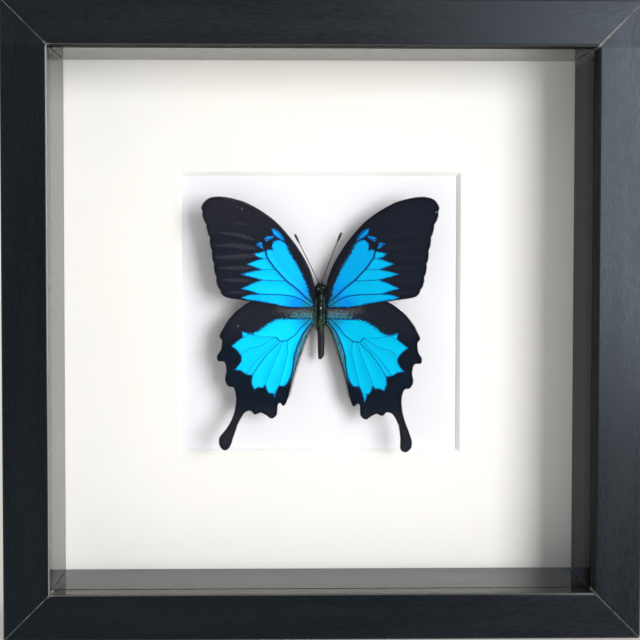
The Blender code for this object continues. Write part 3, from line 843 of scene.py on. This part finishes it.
# %% Upper side: colours
bright = add("Mix RGBA", measure["tone"], "#00B7E7", "#0584DE", clamp_factor=False)
shaded = add("Mix RGBA", patchy, "#009CE0", bright)
silky = add("Mix RGBA", 0.3, bright, shaded)
near_root = add("MapRange", measure["reach"], From=(2.6, 0.8))
green_scales = add("Math MULTIPLY_ADD", centred, 2.4, near_root)
is_green = add("MapRange", green_scales, From=(0.35, 0.85), To=(0.0, 0.8))
rooted = add("Mix RGBA", is_green, silky, "#1F7F6C")
bordered = add("Mix RGBA", full_blue, "#0A569E", rooted)
veined = add("Mix RGBA", vein_open, "#053A82", bordered)
deep = add("Mix RGBA", combed, "#091119", "#121D2A")
# The black runs from blue-black to purple grey; the grey end is partly painted sheen, more on the left
# wings
grey_sheened_black = add("Mix RGBA", combed, "#1B1A21", "#2B2A34")
black_with_sheen = add("Mix RGBA", measure["bloom"], deep, grey_sheened_black)
# Painted sheen: along the scent streaks the black turns paler grey
brushed = add("Math MULTIPLY", measure["streak"], combed)
streak_share = add("MapRange", brushed, From=(0.06, 0.6))
streak_sheened_black = add("Mix RGBA", streak_share, black_with_sheen, "#35343D")
rim_light = add("MapRange SMOOTHSTEP", measure["margin"], From=(0.2, 1.8), To=(0.6, 1.0))
edged = add("VectorMath SCALE", streak_sheened_black, rim_light)
# Pale speckled scales along the front edge; on the forewings the left one's are brighter as a painted
# highlight
costal = add("Math MULTIPLY_ADD", centred, 1.6, measure["costa"])
is_costal = add("MapRange", costal, From=(0.4, 1.1))
framed = add("Mix RGBA", is_costal, edged, "#544C4C")
powder_grain = add("Mix", 0.6, single, combed)
powder_grain = add("MapRange", powder_grain, From=(0.42, 0.58))
powder_colour = add("Mix RGBA", powder_grain, "#14576F", "#57A5B7")
powder_shade = add("Mix RGBA", measure["costa"], powder_colour, "#5C6967")
powdered = add("Mix RGBA", is_powder, framed, powder_shade)
rubbed = add("Mix RGBA", measure["fleck"], powdered, "#98949A")
wing_colour = add("Mix RGBA", is_blue, rubbed, veined)
wing_roughness = add("Mix", is_blue, 0.78, 0.46)
silk = add("Math MULTIPLY", is_blue, 0.15)
rows = add("Mix", 0.5, speckle, combed)
tiled = add("Bump", Height=rows, Strength=0.22, Distance=0.08 * MM)
connect(shader, Base_Color=wing_colour, Metallic=silk, Roughness=wing_roughness, Normal=tiled)
print("upper scales ready")

# %% Underside and fringe
underside, add, spot, shader = start_material(
    "wing scales, underside", Roughness=0.75, IOR=1.45, Specular_IOR_Level=0.3
)
grizzled = add("TexNoise", spot, size=0.5, Detail=4.0, Roughness=0.8)
clouded = add("TexNoise", spot, size=7, Detail=3.0)
brown_blend = add("Mix", 0.5, grizzled, clouded)
brown = add("Mix RGBA", brown_blend, "#1F1814", "#5A4A3B")
scurfy = add("Bump", Height=grizzled, Strength=0.2, Distance=0.05 * MM)
connect(shader, Base_Color=brown, Normal=scurfy)

fringe_scales, add, spot, shader = start_material(
    "fringe scales", Roughness=0.8, IOR=1.45, Specular_IOR_Level=0.2
)
tufts = add("TexNoise", spot, size=1.2, Detail=2.0)
fringe_colour = add("Mix RGBA", tufts, "#141318", "#3A363C")
in_notch = add("Attribute pale", result="Fac")
fringe_colour = add("Mix RGBA", in_notch, fringe_colour, "#B9B2AE")
connect(shader, Base_Color=fringe_colour)
wing_materials = [scales, underside, fringe_scales]
print("underside and fringe ready")

# %% [markdown]
# ## Forewings
# The outer half of each forewing is black with furry streaks along its veins: patches
# of scent scales, which are raised. They are painted paler grey as sheen, fully on the
# left forewing and much less on the right. The blue is brightest in the fingers and
# deeper in the long cell. A few pale flecks are places where scales have rubbed off.

# %% Forewing measures
# Each streak of scent scales: its outer end, middle and inner end, and half its width.
SCENT_STREAKS = [
    (((38.4, 40.0), (35.1, 39.4), (31.2, 38.5)), 0.7),
    (((43.2, 35.4), (35.1, 34.5), (27.4, 32.4)), 1.5),
    (((44.8, 29.9), (36.9, 30.1), (26.6, 28.7)), 1.8),
    (((44.9, 25.0), (35.1, 25.3), (26.6, 25.9)), 1.9),
    (((43.2, 20.5), (33.9, 20.8), (28.0, 20.7)), 1.6),
    (((42.4, 15.8), (35.1, 15.5), (28.6, 15.4)), 1.4),
    (((40.0, 10.4), (35.1, 10.5), (31.0, 10.5)), 0.9),
]
# Painted sheen: the left forewing's black is greyer than the right's
FOREWING_GREY_AND_SHEEN = {"left": 0.42, "right": 0.34}
# How pale the speckled scales along the front edge are; the left forewing's are brighter as a painted
# highlight
COSTA = {"left": 0.75, "right": 0.35}
FOREWING_FLECKS = {
    "left": [(34.4, 45.7, 0.22), (32.8, 45.1, 0.32), (30.9, 47.3, 0.26), (29.6, 46.6, 0.24)],
    "right": [(48.2, 43.7, 0.38)],
}


def worn_spots(points, spots):
    """1 inside each small round spot, which is (out, up, radius) in mm, and 0 elsewhere."""
    pale_marks = np.zeros(len(points))
    for x, z, radius in spots:
        away = np.linalg.norm(points - (x, z), axis=1)
        pale_marks = np.maximum(pale_marks, 1 - ease(away, radius * 0.5, radius))
    return pale_marks


def scent_streaks(points):
    """1 along the middle of each streak, fading to 0 at its sides and its pointed ends."""
    streak_share = np.zeros(len(points))
    for line, half_width in SCENT_STREAKS:
        across, up = np.array(line[::-1]).T
        share = np.clip((points[:, 0] - across[0]) / (across[-1] - across[0]), 0, 1)
        half = half_width * np.sin(pi * share**0.7) ** 0.8 + 1e-6
        off = np.abs(points[:, 1] - np.interp(points[:, 0], across, up)) / half
        streak_share = np.maximum(streak_share, 1 - ease(off, 0.1, 1.0))
    return streak_share


def shared_measures(flat, edge, veins, fields, root, comb, spots):
    """The measures that all wings need, and each point's distance from the root in mm."""
    away = flat - root
    radius = np.linalg.norm(away, axis=1)
    return {
        "blue": np.max([depth_inside(flat, field) for field in fields], axis=0),
        "vein": near_vein(flat, veins),
        "margin": depth_inside(flat, edge),
        "ray": np.arctan2(away[:, 1], away[:, 0]) * comb,
        "reach": radius * 0.28,
        "fleck": worn_spots(flat, spots),
    }, radius


# %% Two forewings
FOREWING_DEPTH = 27.2


def forewing_measures(side, flat):
    """Every measure that the scales need, for one forewing."""
    shared, radius = shared_measures(
        flat, forewing_edge, FOREWING_VEINS, FOREWING_BLUE, (2.0, 5.0), 38, FOREWING_FLECKS[side]
    )
    out, up = flat.T
    costal_side = ease(distance_to(flat, *segments_of(FOREWING_BLUE[0][1:9])), 2.2, 0.0)
    cell = ease(depth_inside(flat, FOREWING_BLUE[0]), -0.2, 1.2)
    root_dark = 0.9 * (1 - ease(radius, 3, 16))
    low_patch = 0.5 * np.exp(-(((out - 10.5) / 3.5) ** 2) - ((up - 6.0) / 1.6) ** 2)
    on_spot = np.max([depth_inside(flat, field) for field in FOREWING_BLUE[2:]], axis=0) > -0.4
    lower_edge = 0.25 * (1 - ease(up, 5.5, 11.0))
    leading = distance_to(flat, *segments_of(FOREWING_EDGE[:7]))
    return shared | {
        # The right forewing's streaks get far less of the painted sheen
        "streak": scent_streaks(flat) * (1.0 if side == "left" else 0.28),
        "dusting": 0.30 * costal_side,
        "powder": 0.3 * (1 - ease(radius, 4, 9)) - 0.4,
        "tone": np.clip(0.36 * cell + root_dark + low_patch + lower_edge + 0.75 * on_spot, 0, 1),
        # On the left forewing the black greys further towards the tip, as painted sheen
        "bloom": FOREWING_GREY_AND_SHEEN[side] + 0.4 * ease(up, 30, 42) * (side == "left"),
        "costa": ease(leading, 0.0, 0.3) * (1 - ease(leading, 0.35, 1.0)) * COSTA[side],
    }


flat, triangles = fill_outline(forewing_edge, MESH_SPACING)
outer_rim = [i for i, (x, z) in enumerate(forewing_edge) if x > 8 and not (z > 20 and x < 30)]
for side in HANDS:
    measures = forewing_measures(side, flat)
    height = relief(flat, FOREWING_VEINS, measures["margin"])
    hair = fringe(forewing_edge, outer_rim, (0.15, 0.4), 0.0, 0.07)
    make_wing("forewing_" + side, side, flat, triangles, measures, height, hair, FOREWING_DEPTH)
print("forewings made, triangles each:", len(triangles))

# %% [markdown]
# ## Hindwings
# The hindwings are scalloped, with a spoon-shaped tail. Their blue is dusted with dark
# scales near the front edge and beside the body. Their black is greyer near the front
# edge and on the tail, the left one's more so as painted sheen. The left tail has
# curled up towards the glass as it dried.

# %% Hindwing measures
HINDWING_DEPTH = 28.0
TAIL_SHIFT = 0.05  # how far out the curled end leans, as a share of its rise
HINDWING_FLECKS = {"left": [(34.4, -3.9, 0.3)], "right": [(33.9, -44.6, 0.4)]}
# Greyness of the black at the front edge and on the tail; the left hindwing's is higher as painted sheen
HINDWING_GREY_AND_SHEEN = {"left": 0.75, "right": 0.5}
TAIL_GREY_AND_SHEEN = {"left": 1.0, "right": 0.85}


def hindwing_measures(side, flat, edge):
    """Every measure that the scales need, for one hindwing."""
    fields = HINDWING_BLUE + ([RIGHT_THREAD] if side == "right" else [])
    shared, radius = shared_measures(
        flat, edge, HINDWING_VEINS, fields, (2.5, 0.0), 34, HINDWING_FLECKS[side]
    )
    out, up = flat.T
    front_band = ease(up, -1.1, -0.3) * (1 - ease(up, 1.0, 6.0)) * (1 - 0.75 * ease(out, 9, 19))
    inside_vein = (shared["blue"] < 0) & (out < 16) & (up < -1)
    inner_band = inside_vein * ease(shared["margin"], 0.1, 0.45) * (1 - ease(-up, 24, 31))
    feather = 1 - ease(distance_to(flat, *segments_of(HINDWING_BLUE[0][3:9])), 0.8, 2.6)
    return shared | {
        "streak": np.zeros(len(flat)),
        "dusting": 0.42 * feather,
        "powder": np.maximum(0.66 * front_band * (out < 24), 0.72 * inner_band) - 0.08,
        "tone": 1.1 * (1 - ease(radius, 3, 12)) - 0.3,
        "bloom": HINDWING_GREY_AND_SHEEN[side] * ease(up, -13, -2) + TAIL_GREY_AND_SHEEN[side] * ease(-up, 36, 43),
        "costa": 0.8 * ease(up, -0.5, 2.4) * (1 - ease(out, 14, 25)),
    }


def settle(points, side):
    """Hindwing points bent for the curled tail and turned about the root, and the curl's rise."""
    share = np.clip((TAIL_ROOT.y - points[:, 1]) / TAIL_LENGTH, 0, 1) * (points[:, 0] > 30)
    curl = TAIL_CURL[side] * share**2
    bent = np.column_stack((points[:, 0] + TAIL_SHIFT * curl, points[:, 1]))
    return np.array([turn_about(p, HINDWING_ROOT, HINDWING_TURN[side]) for p in bent]), curl


# %% Two hindwings
for side in HANDS:
    edge = hindwing_edge[side]
    flat, triangles = fill_outline(edge, MESH_SPACING)
    measures = hindwing_measures(side, flat, edge)
    height = relief(flat, HINDWING_VEINS, measures["margin"])
    outer_rim = [i for i, (x, z) in enumerate(edge) if x > 13.0 and z < 3]
    inner_rim = [i for i, (x, z) in enumerate(edge) if x <= 13.0 and z < -3]
    outer_hair = fringe(edge, outer_rim, (0.15, 0.4), 0.0, 0.07)
    inner_hair = fringe(edge, inner_rim, (0.5, 1.1), 0.9, 0.05)
    shift = len(outer_hair[0])
    hair_triangles = outer_hair[1] + [tuple(shift + corner for corner in t) for t in inner_hair[1]]
    hair_pale = np.concatenate((outer_hair[2], inner_hair[2]))
    hair_points, _ = settle(np.vstack((outer_hair[0], inner_hair[0])), side)
    settled, curl = settle(flat, side)
    hair = (hair_points, hair_triangles, hair_pale)
    make_wing("hindwing_" + side, side, settled, triangles, measures, height + curl, hair, HINDWING_DEPTH)
    print("hindwing", side, "triangles:", len(triangles))

# %% [markdown]
# ## The body
# Head, thorax and abdomen are one skin, built of rings along the body's axis. The
# abdomen is pinched between its segments and its dried tip is cut off at an angle.
# Eyes, palps, tongue, legs and hair join the same mesh, in their own materials, because
# they are all one animal. A small heap of points and faces collects them.

# %% A heap for growing meshes
def new_heap():
    return {"points": [], "faces": [], "slots": [], "tints": []}


def add_rings(heap, rings, slot, tint=0.0):
    """Joins rings of points, all with the same count, into a skin with closed ends."""
    first, count = len(heap["points"]), len(rings[0])
    for ring in rings:
        heap["points"] += [Vector(p) for p in ring]
    heap["tints"] += [tint] * (count * len(rings))
    for i in range(len(rings) - 1):
        for j in range(count):
            a, b = first + i * count + j, first + i * count + (j + 1) % count
            heap["faces"].append((a, b, b + count, a + count))
    last = first + count * (len(rings) - 1)
    heap["faces"] += [tuple(range(first, first + count))[::-1], tuple(range(last, last + count))]
    heap["slots"] += [slot] * (count * (len(rings) - 1) + 2)


def add_tube(heap, path, radii, sides, slot, tint=0.0):
    """A round tube along a path of points, as thick as radii say."""
    path = [Vector(p) for p in path]
    side = Vector((0.3, 0.9, 0.2))
    rings = []
    for i, (point, radius) in enumerate(zip(path, radii)):
        ahead = (path[min(i + 1, len(path) - 1)] - path[max(i - 1, 0)]).normalized()
        side = (side - ahead * side.dot(ahead)).normalized()
        other = ahead.cross(side)
        turns = [2 * pi * j / sides for j in range(sides)]
        rings.append([point + radius * (cos(a) * side + sin(a) * other) for a in turns])
    add_rings(heap, rings, slot, tint)


def add_hair(heap, root, direction, length, width, droop, slot, tint):
    """A flat hair of two parts that ends in a point and bends with droop."""
    across = direction.cross(Vector((0, -1, 0.2)))
    across = (across.normalized() if across.length > 1e-6 else Vector((1, 0, 0))) * width
    middle = root + direction * length * 0.55
    tip = root + direction * length + droop * length * 0.45
    first = len(heap["points"])
    heap["points"] += [root - across, root + across, middle + across * 0.7, middle - across * 0.7, tip]
    heap["tints"] += [tint] * 5
    heap["faces"] += [(first, first + 1, first + 2, first + 3), (first + 3, first + 2, first + 4)]
    heap["slots"] += [slot, slot]


def install_heap(heap, name, materials, depth, up=0.0):
    """A mesh object from a heap whose points are in mm, at a depth in mm behind the front."""
    mesh = bpy.data.meshes.new(name)
    mesh.from_pydata([p * MM for p in heap["points"]], [], heap["faces"])
    mesh.polygons.foreach_set("material_index", heap["slots"])
    mesh.polygons.foreach_set("use_smooth", [True] * len(heap["faces"]))
    add_attribute(mesh, "tint", heap["tints"])
    install(name, mesh, materials, (0, FRONT + depth * MM, MIDDLE.z + up * MM))


# %% Body profile
BODY_DEPTH = 29.0
BODY_PROFILE = [
    (0.3, 14.2), (1.2, 13.9), (1.8, 13.2), (2.1, 12.2), (2.0, 10.9), (1.5, 9.6), (2.1, 8.6),
    (2.8, 6.8), (3.0, 4.0), (2.95, 1.0), (2.5, -1.8), (1.8, -3.8), (1.35, -5.2), (1.42, -7.5),
    (1.38, -10.0), (1.28, -14.0), (1.2, -16.6), (1.1, -17.5), (0.7, -17.9),
]
profile_heights = [z for _, z in BODY_PROFILE][::-1]
profile_radii = [r for r, _ in BODY_PROFILE][::-1]
SEGMENT = 1.45  # mm: length of one abdomen segment
ABDOMEN_LEAN = 0.4  # mm to the right
WAIST = -4.8


def body_radius(z):
    """The body's half width at a height, with the abdomen's pinched segments."""
    radius = float(np.interp(z, profile_heights, profile_radii))
    if z < WAIST:
        radius *= 1 - 0.07 * (0.5 + 0.5 * cos(2 * pi * (z - WAIST) / SEGMENT)) ** 4
    return radius


def on_body(z, angle):
    """A point on the skin and the direction out of it. Angle 0 is right, -pi / 2 is front."""
    radius = body_radius(z)
    depth_share = 0.92 if z > WAIST else 1.0
    cut = ease(np.array(-z), 15.0, 17.9) * max(0.0, cos(angle) - 0.25)
    bulge = 0.10 * sin(3 * angle + 0.6 * z) if z > WAIST else 0.0
    out = Vector((cos(angle), depth_share * sin(angle), 0))
    middle = Vector((ABDOMEN_LEAN * float(ease(np.array(-z), 2.0, 9.0)), 0, z + float(cut) * 2.0))
    return middle + out * (radius + bulge), out.normalized()


# %% Skin, eyes, palps and tongue
CUTICLE, EYE, HAIR = 0, 1, 2
animal = new_heap()
heights = np.concatenate((np.linspace(14.15, WAIST, 70), np.linspace(WAIST - 0.15, -17.85, 110)))
around = [2 * pi * i / 40 for i in range(40)]
add_rings(animal, [[on_body(z, a)[0] for a in around[::-1]] for z in heights], CUTICLE)


def ball_rings(middle, size, steps=14, sides=20):
    """Rings of an egg shape, in mm."""
    rings = []
    for i in range(1, steps):
        tilt = pi * i / steps
        turns = [2 * pi * j / sides for j in range(sides)][::-1]
        ring = [(sin(tilt) * cos(a), sin(tilt) * sin(a), cos(tilt)) for a in turns]
        rings.append([middle + Vector(size) * Vector(p) for p in ring])
    return rings


for hand in HANDS.values():
    add_rings(animal, ball_rings(Vector((1.55 * hand, -0.35, 11.9)), (0.95, 1.25, 1.3)), EYE)
    palp = ((0.55, 0.9, 12.6), (0.75, 1.0, 13.8), (0.7, 0.5, 14.7), (0.5, 0.2, 15.0))
    palp = [(hand * x, y, z) for x, y, z in palp]
    add_tube(animal, palp, (0.35, 0.42, 0.28, 0.08), 8, CUTICLE)
coil = []
for i in range(40):
    turn, winding = 2 * pi * 2.4 * i / 39, 0.9 - 0.5 * i / 39
    coil.append((0.05 * sin(turn), 1.6 + winding * sin(turn), 13.2 + winding * cos(turn)))
add_tube(animal, coil, [0.13 - 0.05 * i / 39 for i in range(40)], 6, CUTICLE)
print("skin, eyes, palps and tongue:", len(animal["faces"]), "faces")

# %% Folded legs
for hand in HANDS.values():
    for hip, knee, ankle, toe in (
        ((1.0, 2.2, 7.0), (2.4, 3.6, 9.2), (1.0, 4.2, 11.4), (0.6, 4.5, 9.6)),
        ((1.2, 2.5, 4.2), (3.0, 3.7, 2.6), (1.4, 4.4, 0.6), (1.0, 4.7, -1.4)),
        ((1.0, 2.4, 1.6), (2.6, 3.6, -1.2), (1.2, 4.2, -3.8), (0.8, 4.6, -6.4)),
    ):
        bones = [Vector((hand * x, y, z)) for x, y, z in (hip, knee, ankle, toe)]
        path, radii = [], []
        for start, end, thick in zip(bones, bones[1:], (0.27, 0.19, 0.13)):
            for share in (0.0, 0.3, 0.6, 0.9):
                path.append(start.lerp(end, share))
                radii.append(thick * (1 - 0.25 * share))
        path.append(bones[-1])
        radii.append(0.06)
        add_tube(animal, path, radii, 8, CUTICLE)
print("six legs folded under the body")

# %% [markdown]
# ## Hair
# The thorax wears a pelt of long hair that lies back over it, dark with green scales
# towards the rear, and longer pale tufts cover the wing roots. Each hair is a flat
# strip two faces long, which is enough for a line thinner than a tenth of a millimetre.
# A number on each hair, its tint, picks its colour from a ramp.

# %% Where hair grows
GATHER = 0.5  # how strongly the thorax's rear hair closes in over the waist, per mm


def grow_hair(count, z_range, angle_range, lengths, lift, back, width, tint_of):
    """Hair on the skin between two heights, leaning back along the body."""
    for _ in range(count):
        z = generator.uniform(*z_range)
        angle = generator.uniform(*angle_range)
        root, out = on_body(z, angle)
        lean = Vector(generator.normal(0, 0.22, 3))
        gathered = GATHER * float(ease(np.array(-z), -1.0, 4.6)) * (z > WAIST)
        inward = Vector((-gathered * root.x, 0, 0))
        direction = (out * lift + Vector((0, 0, -back)) + inward + lean).normalized()
        length = generator.uniform(*lengths)
        droop = (direction + Vector((0, 0, -0.5))).normalized()
        tint = tint_of(z, angle, root)
        add_hair(animal, root - out * 0.05, direction, length, width, droop, HAIR, tint)


THORAX_STREAKS = (-1.9, 0.2, 1.4)  # mm from the axis: paler lines of hair


def thorax_tint(z, angle, root):
    """Nearly black, with three paler streaks and a wedge of green scales at the rear."""
    on_front = sin(angle) < -0.1
    wedge = 0.3 + 0.26 * (z + 5.0)
    if on_front and -5.0 < z < -0.6 and abs(root.x - 0.2) < wedge and generator.random() < 0.3:
        return generator.uniform(0.36, 0.6)
    if on_front and min(abs(root.x - x) for x in THORAX_STREAKS) < 0.24 and generator.random() < 0.42:
        return generator.uniform(0.26, 0.33)
    return generator.uniform(0.0, 0.13)


def head_tint(z, angle, root):
    """Nearly black all over."""
    return generator.uniform(0.0, 0.05)


def abdomen_tint(z, angle, root):
    """Purple grey, with a painted highlight along the back's ridge, a little right of the middle."""
    ridge = max(0.0, 1 - abs(root.x - 0.65) / 0.45) * (sin(angle) < 0)
    return 0.88 + 0.02 * generator.random() + 0.10 * ridge * generator.random()


grow_hair(5600, (-4.7, 8.8), (0, 2 * pi), (0.8, 1.7), 0.36, 0.9, 0.065, thorax_tint)
grow_hair(1700, (9.0, 14.0), (0, 2 * pi), (0.35, 0.8), 0.6, 0.5, 0.055, head_tint)
grow_hair(5200, (-17.4, WAIST), (0, 2 * pi), (0.3, 0.55), 0.14, 1.0, 0.06, abdomen_tint)
print("body hair, faces so far:", len(animal["faces"]))

# %% White dots on the head and collar
WHITE_DOTS = [
    (-0.6, 12.0, 0.16), (1.05, 12.4, 0.22), (-0.2, 11.2, 0.07), (0.6, 10.7, 0.07),
    (0.35, 9.0, 0.16), (1.2, 9.5, 0.10), (0.0, 10.0, 0.06), (0.0, 3.3, 0.08),
]
for x, z, size in WHITE_DOTS:
    angle = -pi / 2 + asin(max(-1, min(1, x / body_radius(z))))
    for _ in range(round(90 * size)):
        root, out = on_body(z + generator.normal(0, size * 0.35), angle + generator.normal(0, size * 0.2))
        direction = (out + Vector(generator.normal(0, 0.3, 3))).normalized()
        add_hair(animal, root + out * 0.4, direction, 0.22, 0.10, direction, HAIR, 0.8)
print("white dots:", len(WHITE_DOTS))

# %% Tufts over the wing roots
for hand in HANDS.values():
    for _ in range(420):
        z = generator.uniform(-2.2, 7.4)
        root, _ = on_body(z, -0.45 * pi + hand * 0.33 * pi)
        fall = (4.0 - z) * 0.16
        sideways, lean = generator.uniform(0.5, 1.0), generator.normal(0, 0.2)
        direction = Vector((hand * sideways, -0.15, -0.35 - fall + lean))
        tint = generator.uniform(0.42, 0.7) if generator.random() < 0.36 else generator.uniform(0.0, 0.3)
        length = generator.uniform(0.9, 2.0)
        add_hair(animal, root, direction.normalized(), length, 0.04, Vector((0, 0.2, -1)), HAIR, tint)
print("with tufts:", len(animal["faces"]))

# %% [markdown]
# ## Materials of the animal
# Insect skin is chitin: dark, tough and a little glossy. It is covered with short
# scales, so it shines only softly. The eyes are bare chitin in tiny facets, and do
# shine. Hair is chitin too, and silky.

# %% Skin, eye and hair finishes
chitin, add, spot, shader = start_material("scaled chitin", IOR=1.56, Specular_IOR_Level=0.1)
grainy = add("TexNoise", spot, size=0.35, Detail=3.0, Roughness=0.7)
large = add("TexNoise", spot, size=2.2, Detail=2.0)
height_up = add("SeparateXYZ", spot, result="Z")
on_thorax = add("MapRange", height_up, From=(-5.2 * MM, -3.6 * MM))
skin_blend = add("Mix", 0.4, grainy, large)
thorax_skin = add("Mix RGBA", skin_blend, "#040707", "#0E1614")
abdomen_skin = add("Mix RGBA", skin_blend, "#0A080A", "#1E1B1E")
skin = add("Mix RGBA", on_thorax, abdomen_skin, thorax_skin)
skin_roughness = add("MapRange", grainy, To=(0.42, 0.7))
scaly = add("Bump", Height=grainy, Strength=0.35, Distance=0.06 * MM)
connect(shader, Base_Color=skin, Roughness=skin_roughness, Normal=scaly)

cornea, add, spot, shader = start_material(
    "faceted eye chitin", IOR=1.56, Roughness=0.22, Specular_IOR_Level=0.3
)
facets = add("TexVoronoi", spot, size=0.09)
eye_colour = add("Mix RGBA", facets, "#0A0707", "#1C1412")
domed = add("Bump", Height=facets, Strength=0.3, Distance=0.02 * MM)
connect(shader, Base_Color=eye_colour, Normal=domed)

pelt, add, spot, shader = start_material(
    "silky body hair", IOR=1.5, Roughness=0.6, Specular_IOR_Level=0.08
)
tint = add("Attribute tint", result="Fac")
ramp = add("ValToRGB", tint)
stops = ramp.node.color_ramp.elements
stops[0].position, stops[0].color = 0.0, linear("#050808")
stops[1].position, stops[1].color = 1.0, linear("#8C838B")
HAIR_COLOURS = (
    (0.17, "#101C1B"), (0.3, "#76A39C"), (0.42, "#2F6A34"), (0.56, "#A2B873"),
    (0.7, "#79A9B0"), (0.8, "#F2F4F2"), (0.88, "#1E1A1F"),
)
for place, colour in HAIR_COLOURS:
    stops.new(place).color = linear(colour)
uneven = add("TexNoise", spot, size=0.8, Detail=2.0)
dim = add("MapRange", uneven, From=(0.3, 0.7), To=(0.6, 1.0))
hair_colour = add("Mix RGBA", 1.0, ramp, dim, blend_type="MULTIPLY")
connect(shader, Base_Color=hair_colour)

install_heap(animal, "butterfly_body", [chitin, cornea, pelt], BODY_DEPTH)
print("body made, faces:", len(animal["faces"]))

# %% [markdown]
# ## Antennae
# An antenna is a chain of some forty short segments that ends in a club. Tiny rings
# along it, a little thinner at every joint, give it its beaded look.

# %% Two antennae
ANTENNA_FOOT = Vector((0.5, 0, 14.0))
ANTENNA_TIP = {"left": Vector((10.8, -1.8, 34.7)), "right": Vector((8.7, -1.8, 35.4))}
ANTENNA_BOW = {"left": -0.1, "right": -0.25}
ANTENNA_RADIUS = 0.18
CLUB_RADIUS = 0.54
CLUB_START, CLUB_SPAN = 0.8, 0.26  # shares of the antenna's length
horn, add, spot, shader = start_material("ringed antenna chitin", IOR=1.56, Roughness=0.45)
bands = add("TexNoise", spot, size=0.5, Detail=2.0)
horn_colour = add("Mix RGBA", bands, "#0E0A0A", "#261D1C")
grooved = add("Bump", Height=bands, Strength=0.2, Distance=0.03 * MM)
connect(shader, Base_Color=horn_colour, Normal=grooved)
for side, hand in HANDS.items():
    heap = new_heap()
    path, radii = [], []
    count = 160
    for i in range(count):
        share = i / (count - 1)
        point = ANTENNA_FOOT.lerp(ANTENNA_TIP[side], share)
        point.x += ANTENNA_BOW[side] * sin(pi * share)
        club = sin(pi * max(0, share - CLUB_START) / CLUB_SPAN)
        ring = 1 - 0.14 * (i % 4 == 0)
        path.append(Vector((hand * point.x, point.y, point.z)))
        radii.append((ANTENNA_RADIUS + (CLUB_RADIUS - ANTENNA_RADIUS) * club) * ring)
    radii[-1] = 0.10
    add_tube(heap, path, radii, 10, 0)
    install_heap(heap, "antenna_" + side, [horn], BODY_DEPTH - 0.6)
print("antennae made")

# %% [markdown]
# ## The pin
# A steel insect pin goes through the thorax into the card. Its small round head is
# all that shows above the hair.

# %% Pin
PIN_FRONT, PIN_END, PIN_HEIGHT = 23.4, 36.7, 4.0
PIN_RADIUS, PIN_HEAD = 0.2, 0.5
steel, add, spot, shader = start_material("polished pin steel", Metallic=1.0)
tarnish = add("TexNoise", spot, size=0.7, Detail=3.0)
steel_colour = add("Mix RGBA", tarnish, "#A9A6A0", "#D9D8D4")
steel_roughness = add("MapRange", tarnish, To=(0.12, 0.35))
connect(shader, Base_Color=steel_colour, Roughness=steel_roughness)
heap = new_heap()
steps = 9
ball = [(PIN_HEAD * (1 - cos(pi * i / steps)), PIN_HEAD * sin(pi * i / steps)) for i in range(1, steps)]
down = [(d, r) for d, r in ball if d < PIN_HEAD or r > PIN_RADIUS]
length = PIN_END - PIN_FRONT
stem = [(down[-1][0] + 0.1, PIN_RADIUS), (length - 1.5, PIN_RADIUS), (length, 0.03)]
add_tube(heap, [(0, d, 0) for d, _ in down + stem], [r for _, r in down + stem], 16, 0)
install_heap(heap, "insect_pin", [steel], PIN_FRONT, PIN_HEIGHT)
print("pin made")
